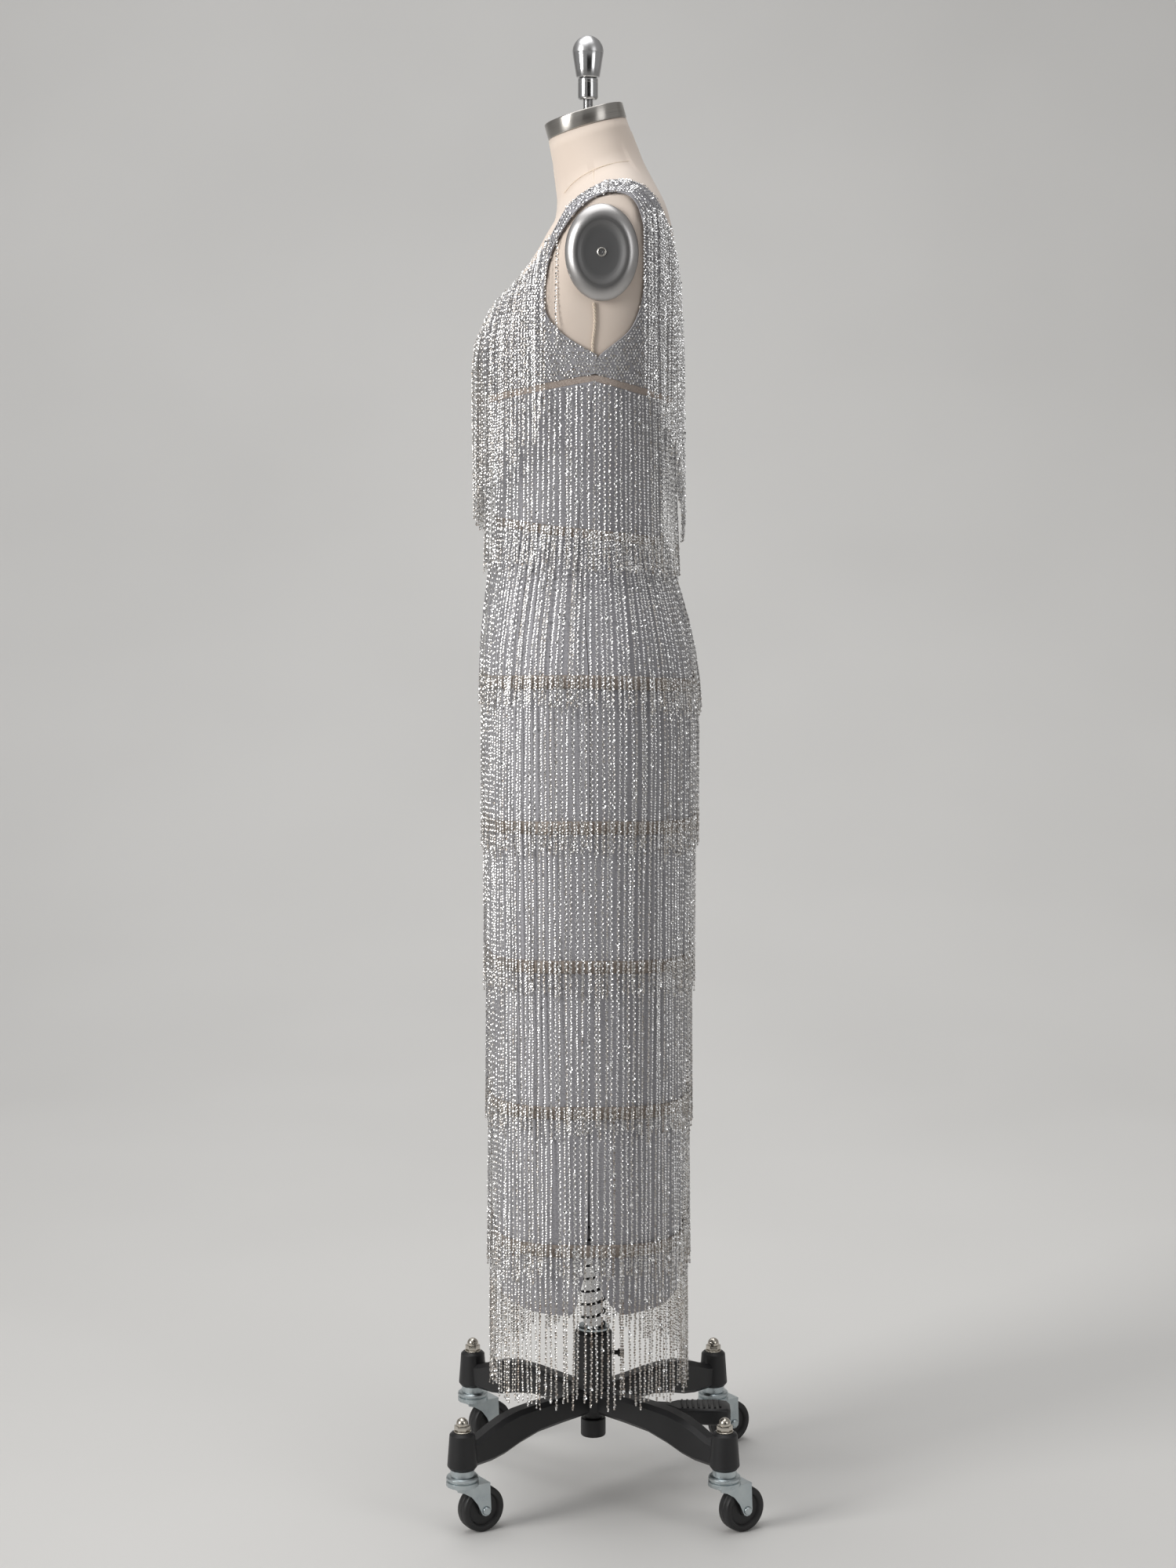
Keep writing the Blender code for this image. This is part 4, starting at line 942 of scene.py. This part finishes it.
def makePedalRibs():
    make = ribSettings
    ribs = []
    for i in range(make["count"]):
        bm = bmesh.new()
        bmesh.ops.create_cube(bm, size=1)
        long = make["long"] if i < make["count"] - 1 else make["lastLong"]
        bmesh.ops.scale(bm, vec=(long, make["wide"], make["high"]), verts=bm.verts)
        bmesh.ops.translate(bm, vec=(pole.x, pole.y + make["from"] + make["pitch"] * i, make["level"]), verts=bm.verts)
        rounded(bm, bm.edges, make["edge"])
        ribs.append(bm)
    makePiece(joined(ribs), "pedalRibs", "rubber", "pedal", slot="black_iron")


castorSettings = {"reach": 0.153, "trail": 0.0245, "angle": math.radians(123), "axleLevel": 0.02735,
                  "wheelSegments": 64, "nutLevel": 0.1238}
nutSettings = {"hexRadius": 0.0093, "hexHeight": 0.0068, "hexMiddle": 0.0046, "edge": 0.0007, "domeRadius": 0.0072,
               "domeFrom": 0.0094, "domeHeight": 0.0073}


def makeNut(corner, seat):
    # hexagon, dome and washer
    make = nutSettings
    bm = bmesh.new()
    bmesh.ops.create_cone(bm, cap_ends=True, segments=6, radius1=make["hexRadius"], radius2=make["hexRadius"],
                          depth=make["hexHeight"])
    rounded(bm, [e for e in bm.edges if abs(e.verts[0].co.z - e.verts[1].co.z) < 1e-5], make["edge"])
    bmesh.ops.transform(bm, matrix=seat @ Matrix.Translation((0, 0, make["hexMiddle"])), verts=bm.verts)
    outline = dome(make["domeRadius"], make["domeFrom"], make["domeHeight"], 15)
    cap = spun(outline + [(make["domeRadius"], 0.0070), (0, 0.0070)], 32, seat)
    washer = spun([(0, 0.0013), (0.0098, 0.0013), (0.0102, 0.0010), (0.0102, 0.0002), (0.0098, 0), (0, 0)], 32, seat)
    makePiece(joined([bm, cap, washer]), "acornNut_" + corner, "nickel", "stand", ["acorn_nut_" + corner],
              "nickel", 35)


def makeCastors():
    make = castorSettings
    angle = make["angle"]
    for corner, (side, fore) in corners.items():
        x, y = side * make["reach"], pole.y + fore * make["reach"]
        for node, name, edge in (("castor_fork_", "castorFork_", 0.0005), ("castor_axle_", "castorAxle_", 0.0004)):
            softenedCopy(node + corner, name + corner, "zinc", "fork_" + corner, "zinc", edge)
        place = Matrix.Translation((x + make["trail"] * math.cos(angle), y + make["trail"] * math.sin(angle),
                                    make["axleLevel"]))
        place = place @ Matrix.Rotation(angle, 4, "Z") @ Matrix.Rotation(math.pi / 2, 4, "X")
        half = [(0.0035, 0.0095), (0.0060, 0.0095), (0.0072, 0.0090), (0.0080, 0.0068), (0.0182, 0.0062),
                (0.0200, 0.0090), (0.0210, 0.0095), (0.0246, 0.0095), (0.0262, 0.0085), (0.0270, 0.0067),
                (0.0273, 0.0035), (0.0273, 0.0005), (0.02745, 0.0003)]
        profile = half + [(r, -z) for r, z in reversed(half)] + [half[0]]
        makePiece(spun(profile, make["wheelSegments"], place), "castorWheel_" + corner, "rubber",
                  "wheel_" + corner, ["castor_wheel_" + corner], "black_rubber", 38)
        makeNut(corner, Matrix.Translation((x, y, make["nutLevel"])))


for each in standPieces:
    softenedCopy(*each)
makeCoil()
makeSocketRing()
makePedalRibs()
makeCastors()
print("stand made")


# ----- studio -----

sweepSettings = {"front": 12, "back": -6.5, "side": 14, "height": 8, "bend": 4.5, "segments": 40}


def vertsOf(geometry):
    return [v for v in geometry if isinstance(v, bmesh.types.BMVert)]


def makeSweep():
    # floor and wall in one sweep: an edge drawn back along the floor and then up
    make = sweepSettings
    bm = bmesh.new()
    edge = [bm.verts.new((make["front"], y, 0)) for y in (-make["side"], make["side"])]
    first = bm.edges.new(edge)
    floor = bmesh.ops.extrude_edge_only(bm, edges=[first])["geom"]
    bmesh.ops.translate(bm, vec=(make["back"] - make["front"], 0, 0), verts=vertsOf(floor))
    fold = [e for e in floor if isinstance(e, bmesh.types.BMEdge) and abs(e.verts[0].co.x - e.verts[1].co.x) < 1e-5]
    wall = bmesh.ops.extrude_edge_only(bm, edges=fold)["geom"]
    bmesh.ops.translate(bm, vec=(0, 0, make["height"]), verts=vertsOf(wall))
    bend = [e for e in bm.edges if abs(e.calc_face_angle(0)) > 1]
    rounded(bm, bend, make["bend"], make["segments"])
    bmesh.ops.recalc_face_normals(bm, faces=bm.faces)
    tree, shader = newMaterial("sweep", "painted studio sweep", "#DBDAD8", 0.75)
    rampInto(shader, "Base Color", noise(tree, 1.1), [(0.3, "#D9D8D6"), (0.7, "#DEDDDB")])
    sweep = linked("sweep", meshFrom(bm, "sweep"))
    sweep.data.materials.append(looks["sweep"])
    sweep.data.shade_smooth()


clothCardSettings = {"place": (5.2, 1.0, 1.9), "size": (3.0, 3.6)}


def makeClothCard():
    # a dark cloth hung behind the camera, which only the metal sees
    bm = bmesh.new()
    bmesh.ops.create_grid(bm, x_segments=1, y_segments=1, size=0.5)
    bmesh.ops.scale(bm, vec=(*clothCardSettings["size"], 1), verts=bm.verts)
    place = Matrix.Translation(clothCardSettings["place"]) @ Matrix.Rotation(-math.pi / 2, 4, "Y")
    bmesh.ops.transform(bm, matrix=place, verts=bm.verts)
    tree, shader = newMaterial("darkCloth", "dark grey studio cloth", "#2E2E2F", 0.95)
    rampInto(shader, "Base Color", noise(tree, 300.0), [(0.3, "#2A2A2B"), (0.7, "#333334")])
    card = linked("darkCloth", meshFrom(bm, "darkCloth"))
    card.data.materials.append(looks["darkCloth"])
    card.visible_camera = False


# place, aim, size in metres, power in watts, tint and spread in degrees
lightSettings = {
    "keySoftbox": ((2.0, -3.05, 2.25), (0, 0, 1.45), (1.3, 2.0), 25, "#FFFEFC", 80),
    "fillSoftbox": ((2.5, 2.6, 2.1), (0, 0, 1.3), (1.4, 2.0), 17, "#FFFFFF", 180),
    "topSoftbox": ((0.2, -0.4, 3.8), (0, 0, 0.8), (2.6, 2.6), 46, "#FFFFFF", 180),
    "wallWash": ((-2.2, -1.0, 4.6), (-6.0, 0.2, 1.5), (3.6, 1.4), 78, "#FFFFFF", 180),
}
worldSettings = {"colour": "#DDDCDB", "strength": 0.43}


def makeLights():
    for name, (place, aim, size, power, tint, spread) in lightSettings.items():
        light = bpy.data.lights.new(name, "AREA")
        light.shape = "RECTANGLE"
        light.size, light.size_y = size
        light.energy = power
        light.color = linear(tint)[:3]
        light.spread = math.radians(spread)
        obj = linked(name, light)
        obj.location = place
        obj.rotation_euler = (Vector(aim) - Vector(place)).to_track_quat("-Z", "Y").to_euler()
    world = bpy.data.worlds.new("studio")
    bpy.context.scene.world = world
    world.use_nodes = True
    background = world.node_tree.nodes["Background"]
    background.inputs["Color"].default_value = linear(worldSettings["colour"])
    background.inputs["Strength"].default_value = worldSettings["strength"]


cameraSettings = {"lens": 65.72, "sensor": 36.0, "away": 3.385, "level": 1.249, "tilt": 6.45}


def makeCamera():
    # it looks at the wearer's left side and a little down
    make = cameraSettings
    camera = bpy.data.cameras.new("camera")
    camera.lens, camera.sensor_width = make["lens"], make["sensor"]
    obj = linked("camera", camera)
    obj.location = (make["away"], pole.y - knobSettings["behind"], make["level"])
    obj.rotation_euler = (math.radians(90 - make["tilt"]), 0, math.radians(90))
    scene = bpy.context.scene
    scene.camera = obj
    scene.view_settings.view_transform = "Standard"
    scene.view_settings.look = "None"


makeSweep()
makeClothCard()
makeLights()
makeCamera()
print("studio made")
